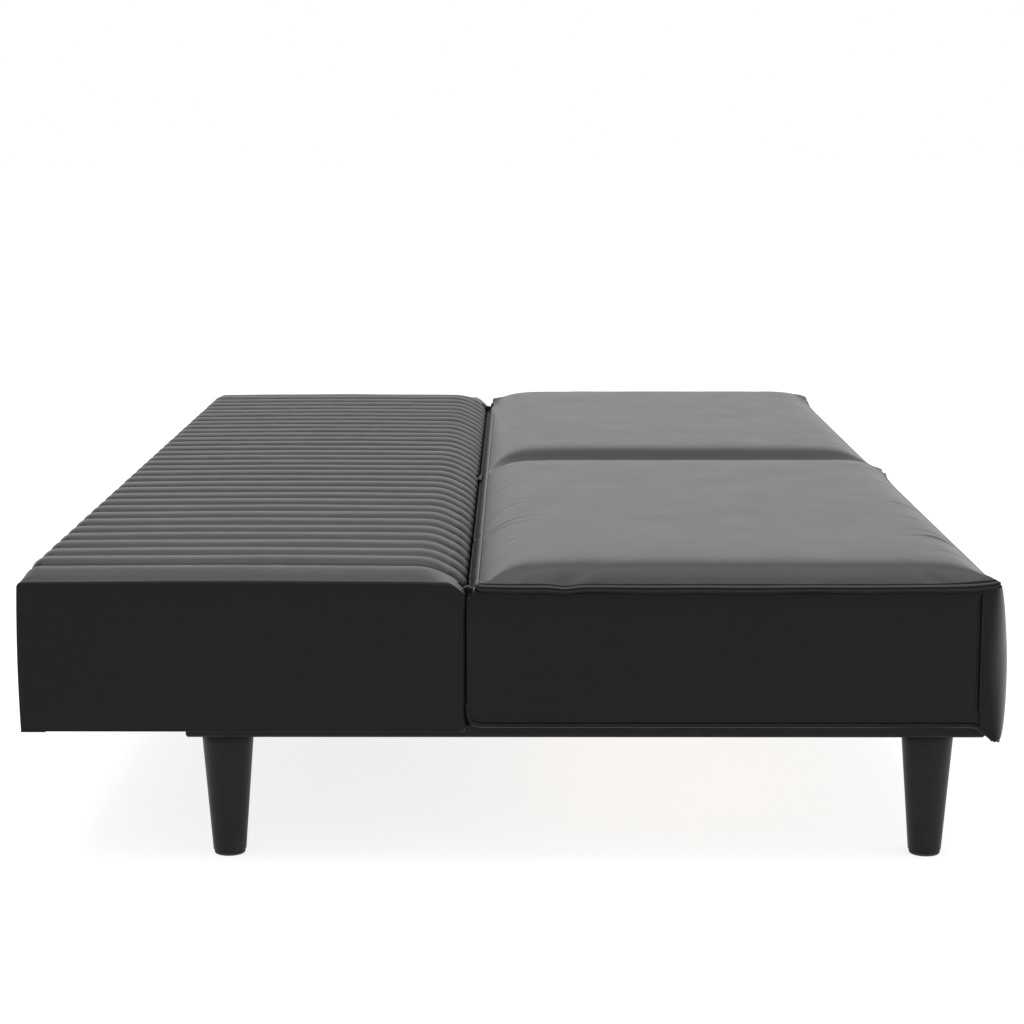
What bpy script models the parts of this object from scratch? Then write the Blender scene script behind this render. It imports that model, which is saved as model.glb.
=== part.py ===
"""Two-seat click-clack sofa bed, modelled flat as a bed.

X runs along the sofa, the seat faces -Y, Z is up and the floor is Z = 0.
"left" and "right" are those of someone sitting on it, so left is +X.
Lengths are in metres.
"""

import bmesh
import bpy
from math import cos, pi, radians, sin
from mathutils import Matrix, Vector

# Overall envelope
HALF_LENGTH = 0.840
SEAT_FRONT_Y = -0.4875
SEAT_INNER_Y = 0.0455
BACK_INNER_Y = 0.0480
BACK_OUTER_Y = 0.4965
EDGE_Z = 0.2950
CROWN_Z = 0.3150
GAP = 0.0003

# Hinge line of the backrest
PIVOT_Y = 0.0457
PIVOT_Z = 0.2780

# Base frame: flat rails under the seat and half of the back
BASE_HALF_X = 0.810
BASE_FRONT_Y = -0.4790
BASE_REAR_Y = 0.3320
BASE_BOTTOM_Z = 0.1305
BASE_TOP_Z = 0.1455
BASE_RAIL_WIDTH = 0.090
BASE_SIDE_WIDTH = 0.060

# Legs
LEG_X = 0.775
LEG_REAR_Y = 0.2930
LEG_FRONT_Y = -0.4262
LEG_TOP_RADIUS = 0.0267
LEG_FOOT_RADIUS = 0.0170
FOOT_EDGE = 0.0012
GLIDE_RADIUS = 0.0160
GLIDE_HEIGHT = 0.0028
BOLT_RADIUS = 0.0040
BOLT_DEPTH = 0.0400

# Timber of the seat and back frames
TIMBER = 0.025
SEAT_RAIL_Y = (-0.4600, -0.0050)
BACK_RAIL_Y = (0.0820, 0.4390)
RAIL_EDGE = 0.0020
SEAT_RAIL_TOP_Z = 0.1860
BACK_RAIL_BOTTOM_Z = 0.1495
BACK_RAIL_TOP_Z = 0.1895
DECK_THICKNESS = 0.0060

# Rubber bumpers that the flat back rests on
BUMPER_X = 0.450
BUMPER_HALF_X = 0.030
BUMPER_Y = (0.262, 0.312)

# Upholstery
END_PANEL = 0.0280
END_PANEL_INNER_X = HALF_LENGTH - END_PANEL
SEAT_PANEL_BOTTOM_Z = 0.1490
SEAT_PAD_BOTTOM_Z = 0.2843
BACK_PANEL_BOTTOM_Z = 0.1430
BACK_UNDERSIDE_Z = 0.1475
BACK_PAD_WALL = 0.0240
BACK_PAD_END_BOTTOM_Z = 0.2620
BACK_CROWN = 0.0100
FRONT_PANEL_BACK_Y = -0.4605
REAR_PANEL_FRONT_Y = 0.0205
FRONT_HEM_Z = 0.1330
BACK_INNER_RADIUS = 0.0240
BACK_OUTER_RADIUS = 0.0160
BACK_INNER_TOP_Z = 0.2965
BACK_OUTER_WALL = 0.0270
EASE_REACH = 0.10
END_EASE_REACH = 0.09
RIB_PITCH = 0.04857
RIB_COUNT = 17
RIB_DEPTH = 0.0060

# Three-position mechanism, one at each end
SEAT_PLATE_X = (0.7975, 0.8015)
ARM_X = (0.8025, 0.8065)
POCKET_X = (0.7940, 0.8100)
EAR_RADIUS = 0.0074
PIVOT_HEAD_RADIUS = 0.0062
SECTOR_RADIUS = 0.0400
NOTCH_RADIUS = 0.0028
POSITIONS_DEG = (0.0, 32.0, 65.5)
LOCK_ANGLE_DEG = 262.0
ARM_SLOT_DEPTH = 0.0440
ARM_SLOT_TOP_Z = 0.2800
PLATE_SLOT_LOW_Z = 0.1950
CUSHION_NOTCH_Y = 0.0325
CUSHION_NOTCH_TOP_Z = 0.2890
PAWL_PIN_Y = 0.0040
PAWL_PIN_Z = 0.2150
PIN_RADIUS = 0.0040
PIN_CLEARANCE = 0.0003

# Centre strap hinge
LEAF_HALF_WIDTH = 0.0200
LEAF_THICKNESS = 0.0020
KNUCKLE_RADIUS = 0.0034
KNUCKLE_HALF = 0.0065
HINGE_PIN_RADIUS = 0.0016
LEAF_LOW_Z = 0.2050
SEAT_LEAF_Y = PIVOT_Y - 0.0040
BACK_LEAF_Y = PIVOT_Y + 0.0040

LEATHER = ((0.026, 0.026, 0.027), 0.42, 0.0)
RIBBED_LEATHER = ((0.022, 0.022, 0.023), 0.45, 0.0)
LINING = ((0.018, 0.018, 0.018), 0.92, 0.0)
FOAM = ((0.62, 0.58, 0.46), 0.95, 0.0)
TIMBER_WOOD = ((0.42, 0.30, 0.18), 0.70, 0.0)
PLYWOOD = ((0.50, 0.38, 0.24), 0.72, 0.0)
BLACK_STEEL = ((0.020, 0.020, 0.021), 0.45, 0.6)
ZINC_STEEL = ((0.45, 0.45, 0.44), 0.38, 1.0)
LEG_BLACK = ((0.017, 0.017, 0.018), 0.38, 0.0)
RUBBER = ((0.015, 0.015, 0.015), 0.85, 0.0)


# Helpers -----------------------------------------------------------------

def clear_scene():
    for obj in list(bpy.data.objects):
        bpy.data.objects.remove(obj, do_unlink=True)


def give_material(obj, look):
    colour, roughness, metallic = look
    material = bpy.data.materials.new(obj.name + "_material")
    material.use_nodes = True
    shader = material.node_tree.nodes["Principled BSDF"]
    shader.inputs["Base Color"].default_value = (*colour, 1.0)
    shader.inputs["Roughness"].default_value = roughness
    shader.inputs["Metallic"].default_value = metallic
    material.diffuse_color = (*colour, 1.0)
    obj.data.materials.append(material)


def add_object(name, bm, look, location=(0, 0, 0), parent=None, smooth=False):
    """Makes an object whose mesh is given in world space, with its origin at location."""
    bmesh.ops.recalc_face_normals(bm, faces=bm.faces)
    bmesh.ops.translate(bm, verts=bm.verts, vec=-Vector(location))
    mesh = bpy.data.meshes.new(name)
    bm.to_mesh(mesh)
    bm.free()
    for polygon in mesh.polygons:
        polygon.use_smooth = smooth
    obj = bpy.data.objects.new(name, mesh)
    bpy.context.scene.collection.objects.link(obj)
    obj.location = location
    if look is not None:
        give_material(obj, look)
    attach(obj, parent)
    return obj


def attach(obj, parent):
    if parent is not None:
        obj.parent = parent
        obj.matrix_parent_inverse = Matrix.Translation(-parent.location)


def box_mesh(x_range, y_range, z_range):
    bm = bmesh.new()
    low = Vector((min(x_range), min(y_range), min(z_range)))
    high = Vector((max(x_range), max(y_range), max(z_range)))
    place = Matrix.Translation((low + high) / 2) @ Matrix.Diagonal((*(high - low), 1))
    bmesh.ops.create_cube(bm, size=1.0, matrix=place)
    return bm, (low + high) / 2


def bevel(obj, width, segments=2, angle_deg=40.0):
    modifier = obj.modifiers.new("edge_round", "BEVEL")
    modifier.width = width
    modifier.segments = segments
    modifier.limit_method = "ANGLE"
    modifier.angle_limit = radians(angle_deg)


def box(name, x_range, y_range, z_range, look, parent=None, edge=0.0, segments=1):
    bm, centre = box_mesh(x_range, y_range, z_range)
    obj = add_object(name, bm, look, centre, parent)
    if edge:
        bevel(obj, edge, segments)
    return obj


def prism_mesh(outline, x_range):
    """Extrudes an outline of (y, z) points from one x to the other."""
    bm = bmesh.new()
    first = [bm.verts.new((x_range[0], y, z)) for y, z in outline]
    face = bm.faces.new(first)
    made = bmesh.ops.extrude_face_region(bm, geom=[face])["geom"]
    moved = [item for item in made if isinstance(item, bmesh.types.BMVert)]
    bmesh.ops.translate(bm, verts=moved, vec=(x_range[1] - x_range[0], 0, 0))
    return bm


def prism(name, outline, x_range, look, location=(0, 0, 0), parent=None):
    return add_object(name, prism_mesh(outline, x_range), look, location, parent)


def loft(name, sections, look, parent=None, location=(0, 0, 0)):
    """Joins closed sections of equal point count into one capped solid."""
    bm = bmesh.new()
    rings = [[bm.verts.new(point) for point in section] for section in sections]
    count = len(rings[0])
    for ring, following in zip(rings, rings[1:]):
        for i in range(count):
            j = (i + 1) % count
            bm.faces.new((ring[i], ring[j], following[j], following[i]))
    bm.faces.new(rings[0])
    bm.faces.new(rings[-1])
    return add_object(name, bm, look, location, parent, smooth=True)


def lathe(name, profile, look, location, axis="Z", parent=None, steps=24):
    """Turns (radius, height) points about Z with a Screw modifier, then lays it along axis."""
    bm = bmesh.new()
    verts = [bm.verts.new((radius, 0.0, height)) for radius, height in profile]
    for a, b in zip(verts, verts[1:]):
        bm.edges.new((a, b))
    mesh = bpy.data.meshes.new(name)
    bm.to_mesh(mesh)
    bm.free()
    obj = bpy.data.objects.new(name, mesh)
    bpy.context.scene.collection.objects.link(obj)
    obj.location = location
    if axis == "X":
        obj.rotation_euler = (0.0, pi / 2, 0.0)
    screw = obj.modifiers.new("turn", "SCREW")
    screw.axis = "Z"
    screw.angle = 2 * pi
    screw.steps = steps
    screw.render_steps = steps
    screw.use_merge_vertices = True
    screw.merge_threshold = 0.00001
    screw.use_smooth_shade = True
    if look is not None:
        give_material(obj, look)
    attach(obj, parent)
    return obj


def as_cutter(obj):
    obj.hide_render = True
    obj.display_type = "WIRE"
    return obj


def box_cutter(name, x_range, y_range, z_range):
    bm, centre = box_mesh(x_range, y_range, z_range)
    return as_cutter(add_object(name, bm, None, centre))


def round_cutter(name, radius, start, end, axis="X", steps=20):
    """A cylinder from start to end, which differ only along axis."""
    height = (Vector(end) - Vector(start)).length
    profile = [(0.0, height), (radius, height), (radius, 0.0), (0.0, 0.0)]
    return as_cutter(lathe(name, profile, None, start, axis, steps=steps))


def cut(obj, cutter):
    modifier = obj.modifiers.new("cut_" + cutter.name, "BOOLEAN")
    modifier.operation = "DIFFERENCE"
    modifier.solver = "EXACT"
    modifier.object = cutter


def arc(centre, radius, start_deg, end_deg, count):
    """Points of an arc in the (y, z) plane."""
    span = end_deg - start_deg
    angles = [radians(start_deg + span * i / (count - 1)) for i in range(count)]
    return [(centre[0] + radius * cos(a), centre[1] + radius * sin(a)) for a in angles]


def along_x(side, x_range):
    """An x range mirrored to the side it is wanted on."""
    return tuple(sorted(side * x for x in x_range))


# Base frame and legs -----------------------------------------------------

def make_base():
    """Two side rails of full length, with the front, rear and centre rails between them."""
    z_range = (BASE_BOTTOM_Z, BASE_TOP_Z)
    edge = RAIL_EDGE
    full_y = (BASE_FRONT_Y, BASE_REAR_Y)
    inner_x = BASE_HALF_X - BASE_SIDE_WIDTH - GAP
    rails = {}
    for side, sign in (("left", 1), ("right", -1)):
        x_range = along_x(sign, (BASE_HALF_X - BASE_SIDE_WIDTH, BASE_HALF_X))
        rails[side] = box(f"base_{side}_rail", x_range, full_y, z_range, BLACK_STEEL, edge=edge)
    front_y = (BASE_FRONT_Y, BASE_FRONT_Y + BASE_RAIL_WIDTH)
    rear_y = (BASE_REAR_Y - BASE_RAIL_WIDTH, BASE_REAR_Y)
    box("base_front_rail", (-inner_x, inner_x), front_y, z_range, BLACK_STEEL, edge=edge)
    box("base_rear_rail", (-inner_x, inner_x), rear_y, z_range, BLACK_STEEL, edge=edge)
    half = BASE_SIDE_WIDTH / 2
    between = (front_y[1] + GAP, rear_y[0] - GAP)
    box("base_centre_rail", (-half, half), between, z_range, BLACK_STEEL, edge=edge)
    return rails


def make_leg(place, x, y, rail):
    top = BASE_BOTTOM_Z - GAP
    foot = GLIDE_HEIGHT + GAP
    profile = [
        (0.0, top),
        (LEG_TOP_RADIUS, top),
        (LEG_FOOT_RADIUS, foot + FOOT_EDGE),
        (LEG_FOOT_RADIUS - FOOT_EDGE, foot),
        (0.0, foot),
    ]
    leg = lathe("leg_" + place, profile, LEG_BLACK, (x, y, 0.0), steps=32)
    flange_radius = 0.0110
    flange = 0.0020
    bolt_bottom = top - BOLT_DEPTH
    bore = BOLT_RADIUS + PIN_CLEARANCE
    shaft_bore = round_cutter(
        "bore_" + place, bore, (x, y, bolt_bottom - GAP), (x, y, BASE_TOP_Z + 0.01), axis="Z"
    )
    cut(leg, shaft_bore)
    cut(rail, shaft_bore)
    cut(rail, round_cutter(
        "counterbore_" + place,
        flange_radius + GAP,
        (x, y, BASE_TOP_Z - flange - GAP),
        (x, y, BASE_TOP_Z + 0.01),
        axis="Z",
    ))
    bolt_profile = [
        (0.0, BASE_TOP_Z),
        (flange_radius, BASE_TOP_Z),
        (flange_radius, BASE_TOP_Z - flange),
        (BOLT_RADIUS, BASE_TOP_Z - flange),
        (BOLT_RADIUS, bolt_bottom),
        (0.0, bolt_bottom),
    ]
    lathe("leg_bolt_" + place, bolt_profile, ZINC_STEEL, (x, y, 0.0), steps=20)
    glide_profile = [
        (0.0, GLIDE_HEIGHT),
        (GLIDE_RADIUS, GLIDE_HEIGHT),
        (GLIDE_RADIUS, 0.0010),
        (GLIDE_RADIUS - 0.0010, 0.0),
        (0.0, 0.0),
    ]
    lathe("foot_glide_" + place, glide_profile, RUBBER, (x, y, 0.0), steps=24)


def make_legs(rails):
    for row, y in (("front", LEG_FRONT_Y), ("rear", LEG_REAR_Y)):
        for side, x in (("left", LEG_X), ("right", -LEG_X)):
            make_leg(f"{row}_{side}", x, y, rails[side])


def make_rest_bumpers():
    z_range = (BASE_TOP_Z + GAP, BACK_UNDERSIDE_Z - GAP)
    for side, sign in (("left", 1), ("right", -1)):
        x_range = along_x(sign, (BUMPER_X - BUMPER_HALF_X, BUMPER_X + BUMPER_HALF_X))
        box("rest_bumper_" + side, x_range, BUMPER_Y, z_range, RUBBER)


# Seat --------------------------------------------------------------------

def make_seat_frame():
    z_range = (BASE_TOP_Z + GAP, SEAT_RAIL_TOP_Z)
    half_x = SEAT_PLATE_X[0] - GAP
    front, rear = [(y, y + TIMBER) for y in SEAT_RAIL_Y]
    between = (front[1] + GAP, rear[0] - GAP)
    edge = RAIL_EDGE
    box("seat_front_rail", (-half_x, half_x), front, z_range, TIMBER_WOOD, edge=edge)
    box("seat_rear_rail", (-half_x, half_x), rear, z_range, TIMBER_WOOD, edge=edge)
    for side, sign in (("left", 1), ("right", -1)):
        x_range = along_x(sign, (half_x - TIMBER, half_x))
        box(f"seat_{side}_rail", x_range, between, z_range, TIMBER_WOOD, edge=edge)
    centre = (-TIMBER / 2, TIMBER / 2)
    box("seat_centre_rail", centre, between, z_range, TIMBER_WOOD, edge=edge)
    deck_z = (SEAT_RAIL_TOP_Z + GAP, SEAT_RAIL_TOP_Z + GAP + DECK_THICKNESS)
    box("seat_deck", (-half_x, half_x), (front[0], rear[1]), deck_z, PLYWOOD)
    foam_z = (deck_z[1] + GAP, SEAT_PAD_BOTTOM_Z - GAP)
    foam_half = half_x - 0.005
    box("seat_foam", (-foam_half, foam_half), (front[0], rear[1]), foam_z, FOAM)


def make_seat_panels():
    top = SEAT_PAD_BOTTOM_Z - GAP
    lip_y = BASE_FRONT_Y - 0.0010
    lip_top = SEAT_PANEL_BOTTOM_Z
    bulge = [(-0.4885, top), (-0.4945, 0.262), (-0.4965, 0.226), (-0.4955, 0.185), (-0.4920, 0.150)]
    outline = [
        (FRONT_PANEL_BACK_Y, top),
        *bulge,
        (-0.4860, FRONT_HEM_Z + 0.0015),
        (-0.4840, FRONT_HEM_Z),
        (lip_y, FRONT_HEM_Z),
        (lip_y, lip_top),
        (FRONT_PANEL_BACK_Y, lip_top),
    ]
    prism("seat_front_panel", outline, (-HALF_LENGTH, HALF_LENGTH), LEATHER)
    rear_outline = [
        (REAR_PANEL_FRONT_Y, SEAT_PANEL_BOTTOM_Z),
        (SEAT_INNER_Y - 0.0020, SEAT_PANEL_BOTTOM_Z),
        (SEAT_INNER_Y, SEAT_PANEL_BOTTOM_Z + 0.0040),
        (SEAT_INNER_Y, top - 0.0080),
        (SEAT_INNER_Y - 0.0028, top),
        (REAR_PANEL_FRONT_Y, top),
    ]
    rear_half = END_PANEL_INNER_X - GAP
    rear = prism("seat_rear_panel", rear_outline, (-rear_half, rear_half), LEATHER)
    cut(rear, hinge_pocket("seat_hinge_pocket", (-LEAF_HALF_WIDTH, LEAF_HALF_WIDTH), (SEAT_LEAF_Y, 0.06)))
    for side, sign in (("left", 1), ("right", -1)):
        slot = box_cutter(
            f"seat_slot_{side}", along_x(sign, POCKET_X), (0.0, 0.06), (PLATE_SLOT_LOW_Z, 0.30)
        )
        cut(rear, slot)
        box(
            f"seat_{side}_end_panel",
            along_x(sign, (END_PANEL_INNER_X, HALF_LENGTH)),
            (FRONT_PANEL_BACK_Y + GAP, SEAT_INNER_Y),
            (SEAT_PANEL_BOTTOM_Z, top),
            LEATHER,
            edge=0.0060,
            segments=3,
        )


def hinge_pocket(name, x_range, y_range):
    """A cutter that makes room for a hinge leaf and its knuckles in a panel's side."""
    clearance = GAP + 0.0005
    return box_cutter(
        name,
        (x_range[0] - clearance, x_range[1] + clearance),
        (y_range[0] - clearance, y_range[1] + clearance),
        (LEAF_LOW_Z - clearance, 0.3200),
    )


def ease(distance, reach):
    """0 at an edge, 1 beyond reach from it, level at both."""
    part = min(max(distance / reach, 0.0), 1.0)
    return sin(part * pi / 2)


def seat_section(x, inset, crown):
    """A closed (y, z) section of a seat cushion, pulled in by inset all round."""
    radius = 0.0160
    inner = SEAT_INNER_Y - inset
    outer = SEAT_FRONT_Y + inset
    edge_z = EDGE_Z - inset
    points = [(inner - 0.0030, SEAT_PAD_BOTTOM_Z)]
    wall = edge_z - SEAT_PAD_BOTTOM_Z
    points += [(inner - 0.0062, SEAT_PAD_BOTTOM_Z + 0.38 * wall)]
    points += [(inner - 0.0112, SEAT_PAD_BOTTOM_Z + 0.66 * wall)]
    stations = 9
    start = inner - radius
    end = outer + 0.0180
    for i in range(stations):
        y = start + (end - start) * i / (stations - 1)
        rise = crown * ease(start - y, EASE_REACH) * ease(y - end, EASE_REACH)
        points.append((y, edge_z + rise + 0.002))
    points += [(outer + 0.0070, edge_z - 0.003), (outer + 0.0010, EDGE_Z - 0.008)]
    points += [(outer, SEAT_PAD_BOTTOM_Z)]
    return [(x, y, z) for y, z in points]


def make_seat_cushions():
    for side, sign in (("left", 1), ("right", -1)):
        start = GAP
        end = HALF_LENGTH
        stations = [
            (0.000, 0.0050), (0.004, 0.0015), (0.012, 0.0), (0.035, 0.0), (0.070, 0.0),
            (0.110, 0.0), (0.250, 0.0), (0.420, 0.0), (0.590, 0.0), (0.730, 0.0), (0.770, 0.0),
            (0.805, 0.0), (0.828, 0.0), (0.836, 0.0015), (0.8397, 0.0050),
        ]
        sections = []
        for distance, inset in stations:
            sides = ease(distance, EASE_REACH) * ease(end - distance, EASE_REACH)
            crown = (CROWN_Z - EDGE_Z) * sides
            sections.append(seat_section(sign * (start + distance), inset, crown))
        cushion = loft(f"seat_cushion_{side}", sections, LEATHER)
        cut(cushion, box_cutter(
            f"cushion_notch_{side}",
            along_x(sign, POCKET_X),
            (CUSHION_NOTCH_Y, 0.06),
            (0.27, CUSHION_NOTCH_TOP_Z),
        ))


# Back --------------------------------------------------------------------

def make_back_frame(axis):
    z_range = (BACK_RAIL_BOTTOM_Z, BACK_RAIL_TOP_Z)
    half_x = ARM_X[0] - GAP
    inner, outer = [(y, y + TIMBER) for y in BACK_RAIL_Y]
    between = (inner[1] + GAP, outer[0] - GAP)
    edge = RAIL_EDGE
    box("back_inner_rail", (-half_x, half_x), inner, z_range, TIMBER_WOOD, axis, edge)
    box("back_outer_rail", (-half_x, half_x), outer, z_range, TIMBER_WOOD, axis, edge)
    for side, sign in (("left", 1), ("right", -1)):
        x_range = along_x(sign, (half_x - TIMBER, half_x))
        box(f"back_{side}_stile", x_range, between, z_range, TIMBER_WOOD, axis, edge)
    centre = (-TIMBER / 2, TIMBER / 2)
    box("back_centre_stile", centre, between, z_range, TIMBER_WOOD, axis, edge)
    panel_z = (BACK_RAIL_TOP_Z + GAP, BACK_RAIL_TOP_Z + GAP + DECK_THICKNESS)
    box("back_panel", (-half_x, half_x), (inner[0], outer[1]), panel_z, PLYWOOD, axis)
    foam_z = (panel_z[1] + GAP, back_cavity_top() - GAP)
    foam_half = half_x - 0.010
    box("back_foam", (-foam_half, foam_half), (inner[0], outer[1]), foam_z, FOAM, axis)
    cover_z = (BACK_UNDERSIDE_Z, BACK_RAIL_BOTTOM_Z - GAP)
    cover_y = (BACK_INNER_Y + BACK_PAD_WALL + GAP, BACK_OUTER_Y - BACK_OUTER_WALL - 0.0010)
    box("back_dust_cover", (-half_x, half_x), cover_y, cover_z, LINING, axis)


def back_cavity_top():
    return CROWN_Z - 0.0640


def back_path(crown):
    """Outer line of the ribbed cover, as ((y, z), normal), from the inner hem over the top to the outer hem."""
    centre_in = (BACK_INNER_Y + BACK_INNER_RADIUS, BACK_INNER_TOP_Z - BACK_INNER_RADIUS)
    centre_out = (BACK_OUTER_Y - BACK_OUTER_RADIUS, EDGE_Z - BACK_OUTER_RADIUS)
    path = [((BACK_INNER_Y, BACK_UNDERSIDE_Z), (-1, 0))]
    for centre, radius, start, end in (
        (centre_in, BACK_INNER_RADIUS, 180, 90),
        (centre_out, BACK_OUTER_RADIUS, 90, 0),
    ):
        for point in arc(centre, radius, start, end, 4):
            normal = ((point[0] - centre[0]) / radius, (point[1] - centre[1]) / radius)
            path.append((point, normal))
        if centre is centre_in:
            first_y = centre[0]
            last_y = centre_out[0]
            base = (path[-1][0][1], EDGE_Z)
            for part in (0.14, 0.38, 0.66, 0.88):
                y = first_y + (last_y - first_y) * part
                level = base[0] + (base[1] - base[0]) * part
                path.append(((y, level + crown * sin(pi * part) ** 0.3), (0, 1)))
    path.append(((BACK_OUTER_Y, BACK_PANEL_BOTTOM_Z), (1, 0)))
    return path


def rib_stations():
    """(x, inset) of each section, from the middle seam to the end."""
    in_rib = ((0.0, RIB_DEPTH), (0.16, 0.28 * RIB_DEPTH), (0.5, 0.0), (0.84, 0.28 * RIB_DEPTH))
    stations = [((rib + part) * RIB_PITCH, inset) for rib in range(RIB_COUNT) for part, inset in in_rib]
    stations[0] = (GAP, RIB_DEPTH)
    stations += [(RIB_COUNT * RIB_PITCH, RIB_DEPTH * 0.5), (0.8330, 0.0030), (0.8400, 0.0070)]
    return stations


def make_back_cushions(axis):
    inner_wall = BACK_INNER_Y + BACK_PAD_WALL
    outer_wall = BACK_OUTER_Y - BACK_OUTER_WALL
    cavity = [
        (outer_wall, BACK_PANEL_BOTTOM_Z),
        (outer_wall, back_cavity_top()),
        (inner_wall, back_cavity_top()),
        (inner_wall, BACK_UNDERSIDE_Z),
    ]
    for side, sign in (("left", 1), ("right", -1)):
        sections = []
        for x, inset in rib_stations():
            path = back_path(BACK_CROWN * ease(HALF_LENGTH - x, END_EASE_REACH))
            ring = [(sign * x, y - ny * inset, z - nz * inset) for (y, z), (ny, nz) in path]
            ring += [(sign * x, y, z) for y, z in cavity]
            sections.append(ring)
        cushion = loft(f"back_cushion_{side}", sections, RIBBED_LEATHER, axis)
        cut(cushion, box_cutter(
            f"end_zone_{side}",
            along_x(sign, (END_PANEL_INNER_X - GAP, 0.90)),
            (0.0, 0.60),
            (0.10, BACK_PAD_END_BOTTOM_Z),
        ))
        cut(cushion, box_cutter(
            f"arm_slot_{side}",
            along_x(sign, POCKET_X),
            (0.03, BACK_INNER_Y + ARM_SLOT_DEPTH),
            (0.10, ARM_SLOT_TOP_Z),
        ))
        cut(cushion, hinge_pocket(
            f"back_hinge_pocket_{side}",
            along_x(sign, (-0.0100, LEAF_HALF_WIDTH)),
            (0.03, BACK_LEAF_Y + LEAF_THICKNESS),
        ))
        cut(cushion, round_cutter(
            f"ear_recess_{side}",
            EAR_RADIUS + 0.0015,
            (min(sign * POCKET_X[0], sign * POCKET_X[1]), PIVOT_Y, PIVOT_Z),
            (max(sign * POCKET_X[0], sign * POCKET_X[1]), PIVOT_Y, PIVOT_Z),
        ))


def make_back_end_panels(axis):
    for side, sign in (("left", 1), ("right", -1)):
        box(
            f"back_{side}_end_panel",
            along_x(sign, (END_PANEL_INNER_X, HALF_LENGTH - 0.001)),
            (BACK_INNER_Y + 0.001, BACK_OUTER_Y - 0.001),
            (BACK_PANEL_BOTTOM_Z, BACK_PAD_END_BOTTOM_Z - GAP),
            LEATHER,
            axis,
            edge=0.0070,
            segments=3,
        )


# Three-position mechanism ------------------------------------------------

def seat_plate_outline():
    ear = arc((PIVOT_Y, PIVOT_Z), EAR_RADIUS, -40, 170, 11)
    return [
        (-0.1100, 0.1540), (0.0120, 0.1540), (0.0180, 0.2000), *ear, (0.0060, 0.2450),
        (-0.0140, 0.2150), (-0.0200, 0.1840), (-0.1100, 0.1840),
    ]


def toothed_outline():
    """The arm's outline: ear, notched sector and the strap that is screwed to the stile."""
    centre = (PIVOT_Y, PIVOT_Z)
    points = arc(centre, EAR_RADIUS, 60, 175, 7)
    notches = sorted(LOCK_ANGLE_DEG - angle for angle in POSITIONS_DEG)
    dip = 4.0
    rim = [190.0]
    for angle in notches:
        rim += [angle - dip, None, angle + dip]
    rim += [270.0]
    for index, angle in enumerate(rim):
        if angle is None:
            deep = SECTOR_RADIUS - 2 * NOTCH_RADIUS
            middle = (rim[index - 1] + rim[index + 1]) / 2
            points += arc(centre, deep, middle - 1.0, middle + 1.0, 2)
        else:
            points.append(arc(centre, SECTOR_RADIUS, angle, angle + 1e-6, 2)[0])
    points += [(0.0750, 0.2200), (0.1050, 0.1540), (0.2300, 0.1540), (0.2300, 0.1850), (0.1350, 0.1850)]
    points += [(0.0850, 0.2450)]
    return points


def make_rivet(name, x_range, y, z, head_radius, parent=None):
    head = 0.0015
    low, high = x_range
    profile = [
        (0.0, high + head), (head_radius, high + head), (head_radius, high), (PIN_RADIUS, high),
        (PIN_RADIUS, low), (head_radius, low), (head_radius, low - head), (0.0, low - head),
    ]
    return lathe(name, profile, BLACK_STEEL, (0.0, y, z), axis="X", parent=parent, steps=20)


def make_spring(name, x_range, sign):
    """A torsion spring of flat-ended round wire, coiled round the pawl's pin."""
    wire = 0.0005
    coil_radius = PIN_RADIUS + wire + 0.0012
    turns = 2
    steps = 14
    low, high = x_range
    curve = bpy.data.curves.new(name, "CURVE")
    curve.dimensions = "3D"
    curve.bevel_depth = wire
    curve.bevel_resolution = 1
    curve.use_fill_caps = True
    spline = curve.splines.new("POLY")
    count = turns * steps + 1
    spline.points.add(count + 1)
    radial = [(radians(360 * i / steps), low + (high - low) * i / (count - 1)) for i in range(count)]
    points = [(x, coil_radius * cos(a), coil_radius * sin(a)) for a, x in radial]
    points.insert(0, (low, coil_radius, -0.0120))
    points.append((high, coil_radius, 0.0120))
    for point, (x, y, z) in zip(spline.points, points):
        point.co = (sign * x, y, z, 1.0)
    obj = bpy.data.objects.new(name, curve)
    bpy.context.scene.collection.objects.link(obj)
    obj.location = (0.0, PAWL_PIN_Y, PAWL_PIN_Z)
    give_material(obj, ZINC_STEEL)
    return obj


def make_pawl(side, sign):
    """The catch that drops into the sector, drawn just clear of its rim."""
    tip = arc((PIVOT_Y, PIVOT_Z), SECTOR_RADIUS + 0.0008, LOCK_ANGLE_DEG - 2.5, LOCK_ANGLE_DEG + 2.5, 2)
    outline = [
        tip[0],
        (tip[0][0] - 0.0060, tip[0][1] - 0.0010),
        *arc((PAWL_PIN_Y, PAWL_PIN_Z), 0.0080, 85, 285, 8),
        (tip[1][0] + 0.0015, tip[1][1] - 0.0095),
        tip[1],
    ]
    pawl = prism(
        f"pawl_{side}",
        outline,
        along_x(sign, ARM_X),
        ZINC_STEEL,
        location=(0.0, PAWL_PIN_Y, PAWL_PIN_Z),
    )
    return pawl


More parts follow.
